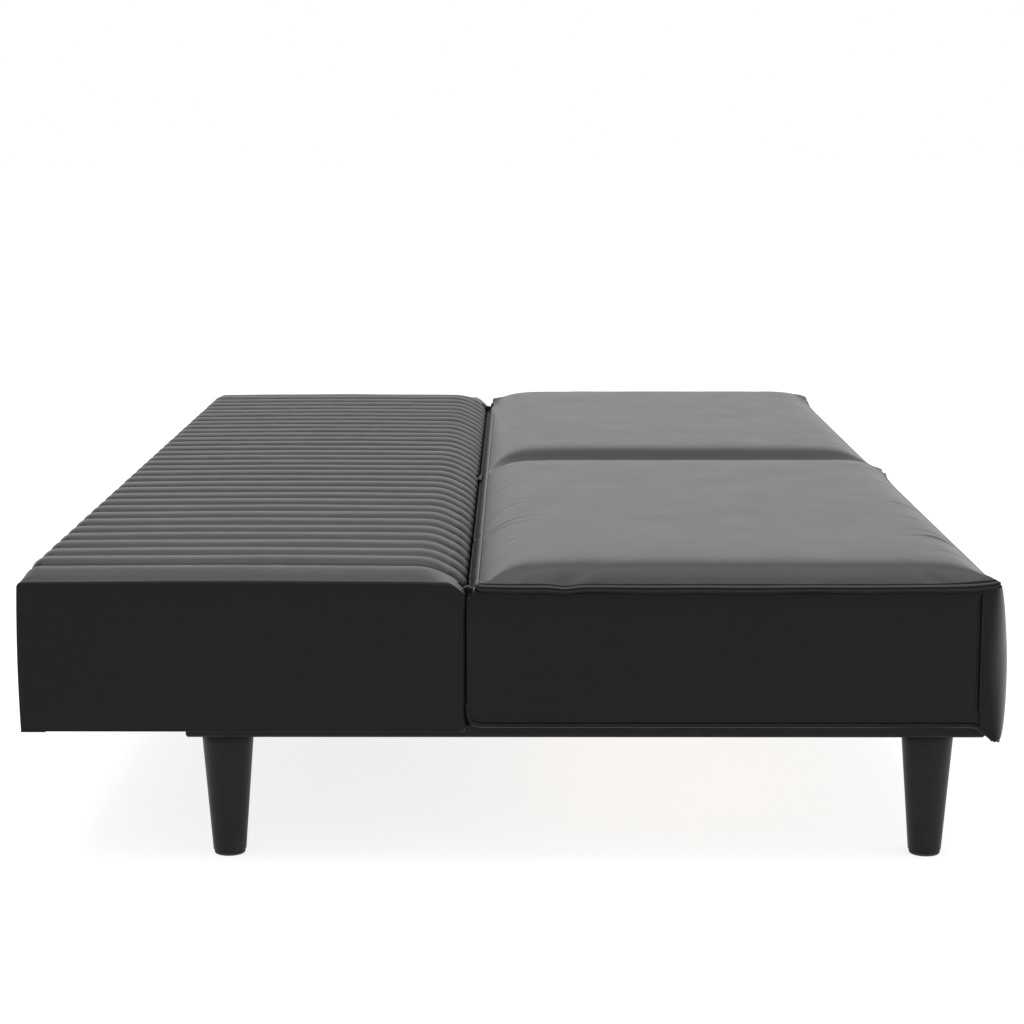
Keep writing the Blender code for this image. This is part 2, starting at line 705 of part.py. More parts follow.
def make_mechanism(side, sign, axis):
    plate = prism(f"seat_plate_{side}", seat_plate_outline(), along_x(sign, SEAT_PLATE_X), BLACK_STEEL)
    arm = prism(
        f"recline_arm_{side}",
        toothed_outline(),
        along_x(sign, ARM_X),
        BLACK_STEEL,
        location=(0.0, PIVOT_Y, PIVOT_Z),
        parent=axis,
    )
    pawl = make_pawl(side, sign)
    reach = along_x(sign, (0.780, 0.820))
    bore = PIN_RADIUS + PIN_CLEARANCE
    pivot_bore = round_cutter(
        f"pivot_bore_{side}", bore, (reach[0], PIVOT_Y, PIVOT_Z), (reach[1], PIVOT_Y, PIVOT_Z)
    )
    pawl_bore = round_cutter(
        f"pawl_bore_{side}", bore, (reach[0], PAWL_PIN_Y, PAWL_PIN_Z), (reach[1], PAWL_PIN_Y, PAWL_PIN_Z)
    )
    cut(plate, pivot_bore)
    cut(arm, pivot_bore)
    cut(plate, pawl_bore)
    cut(pawl, pawl_bore)
    shank = along_x(sign, (SEAT_PLATE_X[0] - GAP, ARM_X[1] + GAP))
    make_rivet(f"pivot_pin_{side}", shank, PIVOT_Y, PIVOT_Z, PIVOT_HEAD_RADIUS)
    shank = along_x(sign, (SEAT_PLATE_X[0] - GAP, ARM_X[1] + 0.0040))
    make_rivet(f"pawl_pin_{side}", shank, PAWL_PIN_Y, PAWL_PIN_Z, 0.0070)
    make_spring(f"pawl_spring_{side}", (ARM_X[1] + 0.0008, ARM_X[1] + 0.0032), sign)


# Centre hinge ------------------------------------------------------------

def make_leaf(name, y_range, knuckles, parent=None):
    """A hinge leaf hanging from its knuckles, bored for the pin."""
    z_range = (LEAF_LOW_Z, PIVOT_Z - 0.0040)
    bm, centre = box_mesh((-LEAF_HALF_WIDTH, LEAF_HALF_WIDTH), y_range, z_range)
    leaf = add_object(name, bm, BLACK_STEEL, centre, parent)
    for index, x_range in enumerate(knuckles):
        lug_y = (min(y_range[0], PIVOT_Y), max(y_range[1], PIVOT_Y))
        lug, lug_centre = box_mesh(x_range, lug_y, (PIVOT_Z - 0.0100, PIVOT_Z))
        lug_object = as_cutter(add_object(f"{name}_lug_{index}", lug, None, lug_centre))
        barrel = round_cutter(
            f"{name}_barrel_{index}",
            KNUCKLE_RADIUS,
            (x_range[0], PIVOT_Y, PIVOT_Z),
            (x_range[1], PIVOT_Y, PIVOT_Z),
        )
        for piece in (lug_object, barrel):
            union = leaf.modifiers.new("join_" + piece.name, "BOOLEAN")
            union.operation = "UNION"
            union.solver = "EXACT"
            union.object = piece
    return leaf


def make_centre_hinge(axis):
    seat_y = (SEAT_LEAF_Y, SEAT_LEAF_Y + LEAF_THICKNESS)
    back_y = (BACK_LEAF_Y, BACK_LEAF_Y + LEAF_THICKNESS)
    outer = (KNUCKLE_HALF + GAP, LEAF_HALF_WIDTH)
    seat_leaf = make_leaf("hinge_seat_leaf", seat_y, [outer, (-outer[1], -outer[0])])
    back_leaf = make_leaf("hinge_back_leaf", back_y, [(-KNUCKLE_HALF, KNUCKLE_HALF)], axis)
    half = LEAF_HALF_WIDTH + 0.0005
    bore = round_cutter(
        "hinge_bore",
        HINGE_PIN_RADIUS + 0.0002,
        (-half - 0.005, PIVOT_Y, PIVOT_Z),
        (half + 0.005, PIVOT_Y, PIVOT_Z),
        steps=16,
    )
    cut(seat_leaf, bore)
    cut(back_leaf, bore)
    profile = [(0.0, half), (HINGE_PIN_RADIUS, half), (HINGE_PIN_RADIUS, -half), (0.0, -half)]
    lathe("hinge_pin", profile, BLACK_STEEL, (0.0, PIVOT_Y, PIVOT_Z), axis="X", steps=16)


def main():
    clear_scene()
    axis = bpy.data.objects.new("back_recline_axis", None)
    axis.location = (0.0, PIVOT_Y, PIVOT_Z)
    axis.empty_display_size = 0.1
    bpy.context.scene.collection.objects.link(axis)
    make_legs(make_base())
    make_rest_bumpers()
    make_seat_frame()
    make_seat_panels()
    make_seat_cushions()
    make_back_frame(axis)
    make_back_cushions(axis)
    make_back_end_panels(axis)
    for side, sign in (("left", 1), ("right", -1)):
        make_mechanism(side, sign, axis)
    make_centre_hinge(axis)


main()
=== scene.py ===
"""Looks of the click-clack sofa bed: faux-leather upholstery, painted frame, legs and hardware."""
from math import cos, pi, radians, sin

import bmesh
import bpy
import numpy as np
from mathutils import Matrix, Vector


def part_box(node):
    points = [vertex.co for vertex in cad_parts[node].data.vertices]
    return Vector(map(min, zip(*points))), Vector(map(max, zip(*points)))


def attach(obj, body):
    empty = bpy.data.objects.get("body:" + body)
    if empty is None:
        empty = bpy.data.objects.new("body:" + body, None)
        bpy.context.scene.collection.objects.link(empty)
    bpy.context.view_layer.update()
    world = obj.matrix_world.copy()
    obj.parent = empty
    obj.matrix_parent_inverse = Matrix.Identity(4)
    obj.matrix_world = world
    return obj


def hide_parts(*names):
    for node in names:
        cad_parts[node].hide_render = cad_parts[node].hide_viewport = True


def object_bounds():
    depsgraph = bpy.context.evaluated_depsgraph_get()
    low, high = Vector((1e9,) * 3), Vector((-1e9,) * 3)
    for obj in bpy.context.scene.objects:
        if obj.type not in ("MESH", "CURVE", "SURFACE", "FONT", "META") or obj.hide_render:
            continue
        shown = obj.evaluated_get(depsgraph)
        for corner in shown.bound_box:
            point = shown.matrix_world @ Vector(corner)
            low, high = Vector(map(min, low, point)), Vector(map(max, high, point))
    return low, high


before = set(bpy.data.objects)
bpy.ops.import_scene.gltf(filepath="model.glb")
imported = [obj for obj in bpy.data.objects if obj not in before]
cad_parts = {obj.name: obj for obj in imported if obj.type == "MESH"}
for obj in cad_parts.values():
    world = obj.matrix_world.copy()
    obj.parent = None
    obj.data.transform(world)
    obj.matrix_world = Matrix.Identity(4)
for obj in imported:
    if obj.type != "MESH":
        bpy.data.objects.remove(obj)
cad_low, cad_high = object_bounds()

# ---- Sizes, from the frame and offsets to it ----

cushion_low, cushion_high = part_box("seat_cushion_left")
front_low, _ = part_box("seat_front_panel")
rear_low, rear_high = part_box("seat_rear_panel")
end_low, end_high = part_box("seat_left_end_panel")
back_low, back_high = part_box("back_cushion_left")
back_end_low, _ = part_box("back_left_end_panel")
hinge_seat_low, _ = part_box("hinge_seat_leaf")
_, hinge_back_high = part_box("hinge_back_leaf")

# Seat: half its length, the side by the gap, the front, the undersides and the seam round each top
HALF = end_high.x
INNER_Y = rear_high.y
FRONT_Y = front_low.y
BOX_BOTTOM = end_low.z
HEM_Z = front_low.z
PAD_Z = cushion_low.z
SEAM_Z = PAD_Z + 0.0092
CROWN = cushion_high.z - SEAM_Z + 0.0018
PAD_INSET = 0.0022
SEAM_DROP = 0.0076
SEAM_IN_Y = INNER_Y - 0.0095
SEAM_TURN = 0.0028
CORNER_Y = FRONT_Y + 0.013
END_X = HALF - 0.0015
FRONT_TAIL_Y = end_low.y - 0.007
CORNER_SEAM_Y = end_low.y - 0.0068
GAP_SEAT_Y = INNER_Y + 0.0006

# Back: its two sides, its edges and its ribs
BACK_IN = back_low.y
BACK_OUT = back_high.y
BACK_BOTTOM = back_end_low.z
GAP_BACK_Y = BACK_IN - 0.0005
OUTER_INSET = 0.0028
BACK_EDGE_Z = 0.2962
BACK_INNER_Z = 0.2965
BACK_LINING_Z = 0.1478
BACK_WALL = 0.024
RIB_PITCH = 0.04857
RIB_COUNT = 17
RIB_DEPTH = 0.007

# Slots in both covers, for the plate and arm at each end and for the strap hinge at mid-length
PLATE_SLOT_X = (0.794, 0.81)
SEAT_SLOT_Z = (0.195, 0.3)
ARM_SLOT_Z = (0.1, 0.28)
ARM_SLOT_END_Y = BACK_IN + 0.044
PIN_SLOT_Z = (0.19, 0.3)
PIN_SLOT_END_Y = 0.0545
HINGE_X = (-0.021, 0.021)
HINGE_BACK_X = (-0.01, 0.021)
HINGE_SLOT_Z = (0.2042, 0.2822)
HINGE_CLEARANCE = 0.0008
GAP_MIDDLE_Y = 0.03
PAST_GAP_Y = 0.06


# ---- Mesh helpers ----

def link_object(name, data):
    """Puts mesh, curve, light or camera data into the scene as an object."""
    obj = bpy.data.objects.new(name, data)
    bpy.context.scene.collection.objects.link(obj)
    return obj


def link_bmesh(name, bm, smooth=True):
    """Makes an object from a bmesh, which it frees."""
    mesh = bpy.data.meshes.new(name)
    bm.to_mesh(mesh)
    bm.free()
    for polygon in mesh.polygons:
        polygon.use_smooth = smooth
    return link_object(name, mesh)


def link_mesh(name, points, faces, smooth=True):
    """Makes an object from points and faces, with its faces turned outwards."""
    mesh = bpy.data.meshes.new(name)
    mesh.from_pydata([tuple(p) for p in points], [], faces)
    mesh.validate()
    bm = bmesh.new()
    bm.from_mesh(mesh)
    bpy.data.meshes.remove(mesh)
    bmesh.ops.recalc_face_normals(bm, faces=bm.faces)
    return link_bmesh(name, bm, smooth)


def box_bmesh(low, high):
    """A box from its lowest corner to its highest."""
    bm = bmesh.new()
    bmesh.ops.create_cube(bm, size=1.0)
    size = Vector(high) - Vector(low)
    centre = (Vector(high) + Vector(low)) / 2
    for vert in bm.verts:
        vert.co = vert.co * size + centre
    return bm


def pad(name, top, bottom_z):
    """A closed pad from a grid of top points: its rim drops straight to one flat underside."""
    rows, columns, _ = top.shape
    rim = [i * columns for i in range(rows)]
    rim += [(rows - 1) * columns + j for j in range(1, columns)]
    rim += [i * columns + columns - 1 for i in range(rows - 2, -1, -1)]
    rim += [j for j in range(columns - 2, 0, -1)]
    points = top.reshape(-1, 3)
    skirt = points[rim].copy()
    skirt[:, 2] = bottom_z
    size = len(points)
    count = len(rim)
    faces = grid_faces(rows, columns)
    for k in range(count):
        m = (k + 1) % count
        faces.append((rim[k], rim[m], size + m, size + k))
    faces.append(tuple(size + k for k in range(count)))
    return link_mesh(name, np.concatenate([points, skirt]), faces)


def grid_faces(rows, columns, wrap_columns=False):
    """Four-sided faces between the rows of a grid, whose columns may run on round."""
    faces = []
    for i in range(rows - 1):
        for j in range(columns if wrap_columns else columns - 1):
            a = i * columns + j
            b = i * columns + (j + 1) % columns
            faces.append((a, b, b + columns, a + columns))
    return faces


def lofted(name, rings):
    """A closed solid from rings, an array of (ring, point, xyz), capped at both ends."""
    count, around, _ = rings.shape
    points = rings.reshape(-1, 3)
    faces = grid_faces(count, around, wrap_columns=True)
    faces.append(tuple(range(around)))
    faces.append(tuple((count - 1) * around + j for j in range(around)))
    return link_mesh(name, points, faces)


def tube(name, points, radius):
    """A round piping through the points, as a curve."""
    curve = bpy.data.curves.new(name, "CURVE")
    curve.dimensions = "3D"
    curve.bevel_depth = radius
    curve.bevel_resolution = 3
    curve.use_fill_caps = True
    spline = curve.splines.new("POLY")
    spline.points.add(len(points) - 1)
    for target, point in zip(spline.points, points):
        target.co = (*point, 1.0)
    return link_object(name, curve)


def resample(points, step):
    """Points spaced evenly by step along a polyline."""
    points = np.asarray(points, float)
    lengths = np.linalg.norm(np.diff(points, axis=0), axis=1)
    along = np.concatenate([[0.0], np.cumsum(lengths)])
    count = max(2, int(round(along[-1] / step)) + 1)
    wanted = np.linspace(0.0, along[-1], count)
    return np.stack([np.interp(wanted, along, points[:, k]) for k in range(3)], axis=1)


# A stitch in section, as (place along it in lengths, share of its radius)
STITCH_SECTION = ((-0.5, 0.35), (-0.3, 1.0), (0.3, 1.0), (0.5, 0.35))


def stitches(name, points, pitch=0.0055, length=0.0038, radius=0.00045):
    """A row of thread stitches lying along a polyline, as one mesh."""
    line = resample(points, pitch)
    verts = []
    faces = []
    sides = 6
    for start, end in zip(line, line[1:]):
        direction = (end - start) / np.linalg.norm(end - start)
        helper = (0.0, 0.0, 1.0) if abs(direction[2]) < 0.9 else (1.0, 0.0, 0.0)
        across = np.cross(direction, helper)
        across = across / np.linalg.norm(across)
        up = np.cross(across, direction)
        middle = (start + end) / 2
        first = len(verts)
        for place, scale in STITCH_SECTION:
            centre = middle + direction * length * place
            for k in range(sides):
                angle = 2 * pi * k / sides
                verts.append(centre + radius * scale * (cos(angle) * across + sin(angle) * up))
        for ring in range(3):
            for k in range(sides):
                m = (k + 1) % sides
                a = first + ring * sides
                b = a + sides
                faces.append((a + k, a + m, b + m, b + k))
        faces.append(tuple(first + k for k in range(sides)))
        faces.append(tuple(first + 3 * sides + k for k in range(sides)))
    return link_mesh(name, verts, faces)


def cut_box(obj, low, high):
    """Cuts a box-shaped slot out of a piece."""
    cutter = link_bmesh("cutter", box_bmesh(low, high), False)
    modifier = obj.modifiers.new("slot", "BOOLEAN")
    modifier.operation = "DIFFERENCE"
    modifier.solver = "EXACT"
    modifier.object = cutter
    apply_modifiers(obj)
    bpy.data.objects.remove(cutter, do_unlink=True)


def apply_modifiers(obj):
    """Replaces the object's mesh with what its modifiers make of it."""
    graph = bpy.context.evaluated_depsgraph_get()
    graph.update()
    made = bpy.data.meshes.new_from_object(obj.evaluated_get(graph))
    old = obj.data
    obj.modifiers.clear()
    obj.data = made
    bpy.data.meshes.remove(old)


# ---- Fold patterns ----

def make_folds(seed, length, count, depth, reach, width):
    """Short creases that run in from a seam: (place along it, depth, reach, width, slant)."""
    rng = np.random.default_rng(seed)
    places = np.sort(rng.uniform(0.03, length - 0.03, count))
    folds = []
    for place in places:
        folds.append((
            place,
            depth * rng.uniform(0.35, 1.0),
            reach * rng.uniform(0.45, 1.0),
            width * rng.uniform(0.6, 1.3),
            rng.uniform(-0.55, 0.55),
        ))
    return folds


def fold_depth(folds, along, inward):
    """Height change of the folds at points along and in from a seam: a crease with a soft lip beside it."""
    total = np.zeros_like(along)
    for place, depth, reach, width, slant in folds:
        offset = (along - place - slant * inward) / width
        window = np.exp(-((inward / reach) ** 2)) * (1 - np.exp(-inward / 0.006))
        total -= depth * window * np.exp(-(offset**2))
        total += 0.55 * depth * window * np.exp(-((offset - 1.6) ** 2))
    return total


def waves(seed, x, y, scale, octaves=3):
    """Smooth seeded noise of about -1 to 1, from a few crossing waves."""
    rng = np.random.default_rng(seed)
    total = np.zeros_like(x)
    for octave in range(octaves):
        for _ in range(4):
            angle = rng.uniform(0, 2 * pi)
            k = 2 * pi / (scale * rng.uniform(0.7, 1.3)) * 1.8**octave
            total += np.sin(k * (x * cos(angle) + y * sin(angle)) + rng.uniform(0, 2 * pi)) / 1.9**octave
    return total / 6.0


def rise(distance, width, power=1.8):
    """0 at a seam and 1 from width inwards, with a rounded shoulder."""
    part = np.clip(distance / width, 0.0, 1.0)
    return 1.0 - (1.0 - part) ** power


def gutter(distance, reach):
    """Share of the full height beside a seam that is pulled down into a gutter."""
    part = np.clip(distance / reach, 0, 1)
    return (part * part * (3 - 2 * part)) ** 1.5


def soft_least(values, sharpness):
    """The smallest of several 0 to 1 heights, rounded a little where two are equal."""
    stack = np.stack([np.maximum(v, 1e-4) ** -sharpness for v in values])
    return (stack.sum(0)) ** (-1.0 / sharpness)


# ---- Materials ----

class Nodes:
    """A short way to write a node tree."""

    def __init__(self, name):
        self.material = bpy.data.materials.new(name)
        self.material.use_nodes = True
        self.tree = self.material.node_tree
        self.shader = self.tree.nodes["Principled BSDF"]
        self.coordinates = self.add("ShaderNodeTexCoord").outputs["Object"]

    def add(self, kind, **settings):
        node = self.tree.nodes.new(kind)
        for key, value in settings.items():
            setattr(node, key, value)
        return node

    def link(self, source, target):
        self.tree.links.new(source, target)

    def noise(self, scale, detail=4.0, roughness=0.55, vector=None):
        node = self.add("ShaderNodeTexNoise")
        node.inputs["Scale"].default_value = scale
        node.inputs["Detail"].default_value = detail
        node.inputs["Roughness"].default_value = roughness
        self.link(vector or self.coordinates, node.inputs["Vector"])
        return node.outputs["Fac"]

    def cells(self, scale, feature="F1"):
        node = self.add("ShaderNodeTexVoronoi", feature=feature)
        node.inputs["Scale"].default_value = scale
        self.link(self.coordinates, node.inputs["Vector"])
        return node.outputs["Distance"]

    def stretched(self, scale):
        node = self.add("ShaderNodeMapping")
        node.inputs["Scale"].default_value = scale
        self.link(self.coordinates, node.inputs["Vector"])
        return node.outputs["Vector"]

    def ranged(self, value, low, high, from_low=0.0, from_high=1.0):
        node = self.add("ShaderNodeMapRange")
        self.link(value, node.inputs["Value"])
        for key, number in (
            ("From Min", from_low), ("From Max", from_high), ("To Min", low), ("To Max", high)
        ):
            node.inputs[key].default_value = number
        return node.outputs["Result"]

    def mixed(self, factor, first, second):
        node = self.add("ShaderNodeMix", data_type="RGBA")
        self.link(factor, node.inputs["Factor"])
        node.inputs[6].default_value = (*first, 1.0)
        node.inputs[7].default_value = (*second, 1.0)
        return node.outputs[2]

    def summed(self, first, second, operation="ADD"):
        node = self.add("ShaderNodeMath", operation=operation)
        self.link(first, node.inputs[0])
        if isinstance(second, float):
            node.inputs[1].default_value = second
        else:
            self.link(second, node.inputs[1])
        return node.outputs[0]

    def bump(self, height, distance, strength):
        node = self.add("ShaderNodeBump")
        node.inputs["Strength"].default_value = strength
        node.inputs["Distance"].default_value = distance
        self.link(height, node.inputs["Height"])
        return node.outputs["Normal"]

    def use(self, **sockets):
        for key, value in sockets.items():
            socket = self.shader.inputs[key.replace("_", " ")]
            if isinstance(value, bpy.types.NodeSocket):
                self.link(value, socket)
            else:
                socket.default_value = value


def faux_leather(name, dark, light, rough):
    """Black PU leather: pebbled grain, faint creases, slightly uneven gloss."""
    n = Nodes(name)
    pebbles = n.cells(620.0)
    drift = n.noise(210.0, 3.0)
    creases = n.cells(95.0, "DISTANCE_TO_EDGE")
    patches = n.noise(5.5, 3.0)
    smudges = n.noise(17.0, 3.0)
    crease_line = n.ranged(creases, 0.0, 1.0, 0.0, 0.09)
    height = n.summed(n.summed(pebbles, drift), n.summed(crease_line, 0.35, "MULTIPLY"))
    n.use(
        Base_Color=n.mixed(patches, dark, light),
        Roughness=n.ranged(smudges, rough - 0.015, rough + 0.015, 0.3, 0.7),
        Normal=n.bump(height, 0.00012, 0.5),
        Specular_IOR_Level=0.118,
    )
    return n.material


def thread(name):
    """Black sewing thread with its twist."""
    n = Nodes(name)
    twist = n.noise(900.0, 2.0)
    n.use(
        Base_Color=n.mixed(twist, (0.006, 0.006, 0.006), (0.012, 0.012, 0.012)),
        Roughness=n.ranged(twist, 0.55, 0.75),
        Normal=n.bump(twist, 0.0002, 0.5),
        Specular_IOR_Level=0.15,
    )
    return n.material


def painted(name, colour, rough, grain_scale=(60.0, 900.0, 900.0)):
    """Satin black paint over timber: faint long grain and small scuffs."""
    n = Nodes(name)
    grain = n.noise(1.0, 4.0, vector=n.stretched(grain_scale))
    scuffs = n.noise(38.0, 5.0, 0.65)
    worn = tuple(c * 1.9 + 0.004 for c in colour)
    n.use(
        Base_Color=n.mixed(n.ranged(scuffs, 0.0, 1.0, 0.55, 0.8), colour, worn),
        Roughness=n.ranged(scuffs, rough - 0.06, rough + 0.12),
        Normal=n.bump(grain, 0.0002, 0.25),
        Specular_IOR_Level=0.16,
    )
    return n.material


def black_steel(name):
    """Black powder-coated steel with a fine orange-peel surface and rubbed spots."""
    n = Nodes(name)
    peel = n.noise(650.0, 2.0)
    rubbed = n.noise(55.0, 5.0, 0.7)
    spots = n.ranged(rubbed, 0.0, 1.0, 0.6, 0.75)
    n.use(
        Base_Color=n.mixed(spots, (0.008, 0.008, 0.008), (0.02, 0.02, 0.021)),
        Roughness=n.ranged(rubbed, 0.5, 0.62),
        Normal=n.bump(peel, 0.00015, 0.4),
        Specular_IOR_Level=0.12,
    )
    return n.material


def timber(name, pale, dark, along="X"):
    """Sawn softwood with growth rings drawn out along the rail."""
    n = Nodes(name)
    stretch = {"X": (3.0, 70.0, 70.0), "Y": (70.0, 3.0, 70.0)}[along]
    vector = n.stretched(stretch)
    rings = n.noise(1.3, 5.0, 0.6, vector)
    fibres = n.noise(9.0, 3.0, 0.7, vector)
    tone = n.summed(n.summed(rings, 0.7, "MULTIPLY"), n.summed(fibres, 0.3, "MULTIPLY"))
    n.use(
        Base_Color=n.mixed(n.ranged(tone, 0.0, 1.0, 0.35, 0.65), pale, dark),
        Roughness=n.ranged(fibres, 0.62, 0.82),
        Normal=n.bump(fibres, 0.0004, 0.4),
    )
    return n.material


def foam(name):
    """Pale open-cell foam."""
    n = Nodes(name)
    pores = n.cells(420.0)
    patches = n.noise(12.0)
    n.use(
        Base_Color=n.mixed(patches, (0.66, 0.6, 0.42), (0.78, 0.73, 0.56)),
        Roughness=0.95,
        Normal=n.bump(pores, 0.001, 0.6),
    )
    return n.material


def plated(name):
    """Zinc-plated steel with brushed streaks and a slight bloom."""
    n = Nodes(name)
    streaks = n.noise(1.0, 3.0, vector=n.stretched((900.0, 60.0, 900.0)))
    bloom = n.noise(70.0, 4.0)
    n.use(
        Base_Color=n.mixed(bloom, (0.42, 0.43, 0.43), (0.6, 0.6, 0.58)),
        Metallic=1.0,
        Roughness=n.ranged(streaks, 0.28, 0.46),
        Normal=n.bump(streaks, 0.0001, 0.2),
    )
    return n.material


def rubber(name):
    """Matt black rubber with dusty specks."""
    n = Nodes(name)
    specks = n.noise(300.0, 3.0)
    n.use(
        Base_Color=n.mixed(specks, (0.012, 0.012, 0.012), (0.028, 0.028, 0.027)),
        Roughness=n.ranged(specks, 0.72, 0.92),
        Normal=n.bump(specks, 0.0002, 0.4),
    )
    return n.material


def lining(name):
    """Black spun-bonded dust cloth with pressed dots."""
    n = Nodes(name)
    dots = n.cells(520.0)
    fibres = n.noise(240.0, 5.0, 0.7)
    n.use(
        Base_Color=n.mixed(fibres, (0.01, 0.01, 0.01), (0.03, 0.03, 0.031)),
        Roughness=0.93,
        Normal=n.bump(n.summed(dots, fibres), 0.0003, 0.6),
    )
    return n.material


BLACK_PAINT = (0.0075, 0.0075, 0.0077)
PINE_PALE = (0.55, 0.38, 0.2)
PINE_DARK = (0.38, 0.23, 0.11)

LEATHER = faux_leather("smooth_black_faux_leather", (0.005, 0.005, 0.0052), (0.0072, 0.0072, 0.0074), 0.3)
RIBBED = faux_leather("ribbed_black_faux_leather", (0.0045, 0.0045, 0.0047), (0.0066, 0.0066, 0.0068), 0.33)
THREAD = thread("black_thread")
FRAME_PAINT = painted("black_frame_paint", BLACK_PAINT, 0.46)
LEG_PAINT = painted("black_leg_paint", BLACK_PAINT, 0.4, (500.0, 500.0, 40.0))
BLACK_STEEL = black_steel("black_powder_coated_steel")
PINE_X = timber("pine_along_x", PINE_PALE, PINE_DARK, "X")
PINE_Y = timber("pine_along_y", PINE_PALE, PINE_DARK, "Y")
PLYWOOD = timber("birch_plywood", (0.6, 0.46, 0.29), (0.47, 0.34, 0.2), "X")
FOAM = foam("cream_foam")
STEEL = plated("zinc_plated_steel")
RUBBER = rubber("black_rubber")
LINING = lining("black_dust_cloth")


def dress(obj, material, body, stands_for=()):
    """Gives a piece its material, its CAD body and the CAD nodes it stands for."""
    obj.data.materials.clear()
    obj.data.materials.append(material)
    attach(obj, body)
    if stands_for:
        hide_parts(*stands_for)


def upholster(obj, stands_for=(), body="base"):
    """Dresses a piece of the plain cover."""
    dress(obj, LEATHER, body, stands_for)


# ---- Seat tops ----

# Creases of each cushion as (distance from its outer end, depth, reach, width, slant)
INNER_CREASES = {
    "right": [
        (0.594, 0.0007, 0.04, 0.0065, 0.25), (0.42, 0.0009, 0.042, 0.006, 0.28),
        (0.312, 0.0011, 0.048, 0.006, 0.3), (0.285, 0.0009, 0.04, 0.0055, 0.22),
        (0.175, 0.0008, 0.036, 0.007, 0.35), (0.7, 0.0005, 0.035, 0.008, -0.2),
    ],
    "left": [
        (0.3, 0.0007, 0.035, 0.006, -0.2), (0.527, 0.0007, 0.035, 0.0065, -0.1),
        (0.42, 0.0004, 0.03, 0.006, 0.1), (0.15, 0.0005, 0.035, 0.0075, 0.3),
    ],
}
FRONT_CREASES = {
    "right": [
        (0.216, 0.0016, 0.042, 0.0062, -0.5), (0.25, 0.0008, 0.035, 0.006, -0.4),
        (0.33, 0.0007, 0.036, 0.007, -0.3), (0.445, 0.0008, 0.04, 0.007, -0.2),
        (0.625, 0.0006, 0.036, 0.007, 0.1), (0.74, 0.0006, 0.04, 0.008, 0.3),
        (0.12, 0.0006, 0.035, 0.008, -0.5),
    ],
    "left": [
        (0.11, 0.0006, 0.04, 0.009, -0.4), (0.25, 0.0006, 0.036, 0.0075, -0.2),
        (0.4, 0.0006, 0.036, 0.008, 0.1), (0.56, 0.0006, 0.034, 0.007, 0.15),
        (0.7, 0.0007, 0.04, 0.009, 0.4),
    ],
}
# Gathers at the outer end, as (distance from the inner seam, depth, reach, width, slant)
END_CREASES = [
    (0.088, 0.0012, 0.032, 0.015, 0.7), (0.03, 0.0008, 0.03, 0.008, 0.5),
    (0.21, 0.0004, 0.03, 0.012, -0.2), (0.33, 0.0004, 0.03, 0.014, 0.3),
    (0.455, 0.0007, 0.035, 0.01, -0.6),
]
MIDDLE_CREASES = [
    (0.06, 0.0006, 0.035, 0.01, 0.3), (0.17, 0.0004, 0.035, 0.012, -0.2),
    (0.33, 0.0004, 0.035, 0.014, 0.2), (0.45, 0.0006, 0.035, 0.01, -0.4),
]
# Where the front seam runs between its corners
SEAM_LINE_Y = {"right": -0.4796, "left": -0.4755}
MIDDLE_CORNER_Y = -0.4872
# Width and sharpness of the curve down to the seam on each side of a cushion
OUTER_FLANK = {"right": (0.11, 2.8), "left": (0.07, 2.5)}
MIDDLE_FLANK = (0.056, 2.2)
INNER_FLANK = (0.064, 1.8)
FRONT_FLANK = (0.07, 2.2)
FLANK_SHARPNESS = 5.5
# Where the far cushion meets the near one it falls away over this width instead
GUTTER_REACH = 0.117
VALLEY_DEPTH = 0.0035
# The slow crown over the whole cushion: height, width along the sofa, width across it and sharpness
SWELL_HEIGHT = 0.0045
SWELL_LONG = 0.24
SWELL_WIDE = 0.2
SWELL_SHARPNESS = 3.0
# How far in from the end, inner and front seams their lifts fade out
LIFT_REACH = (0.012, 0.03, 0.012)
# Slow waves in the stuffed surface, as (step of the seed, height, length)
SURFACE_WAVES = ((4, 0.0006, 0.36), (5, 0.00012, 0.11))


def front_seam_y(a, side):
    """Y of the front seam at a distance a from the outer end: the sides pull in between the corners."""
    line = SEAM_LINE_Y[side]
    outer = (CORNER_Y - line) * np.exp(-np.maximum(a, 0) / 0.028)
    middle = (MIDDLE_CORNER_Y - line) * np.exp(-np.maximum(END_X - a, 0) / 0.04)
    return line + outer + middle


def seam_lift(a):
    """How far the front seam lifts towards its corners."""
    return 0.0048 * np.exp(-a / 0.03) + 0.001 * np.exp(-(END_X - a) / 0.02)


def end_seam_lift(y):
    """How far the seam across the outer end lifts at its corners, and dips at a gather."""
    front = 0.0048 * np.exp(-np.maximum(y - CORNER_Y, 0) / 0.032)
    inner = 0.0012 * np.exp(-np.maximum(SEAM_IN_Y - y, 0) / 0.012)
    gather = 0.0018 * np.exp(-(((y + 0.052) / 0.011) ** 2))
    return front + inner - gather


def inner_seam_lift(a):
    """How far the seam beside the gap lies below the others, but for its corners."""
    return -0.0074 + 0.0086 * np.exp(-a / 0.012)


def eased(count, crowding):
    """Steps from 0 to 1, crowded at both ends."""
    t = np.linspace(0, 1, count)
    return crowding * (1 - np.cos(pi * t)) / 2 + (1 - crowding) * t


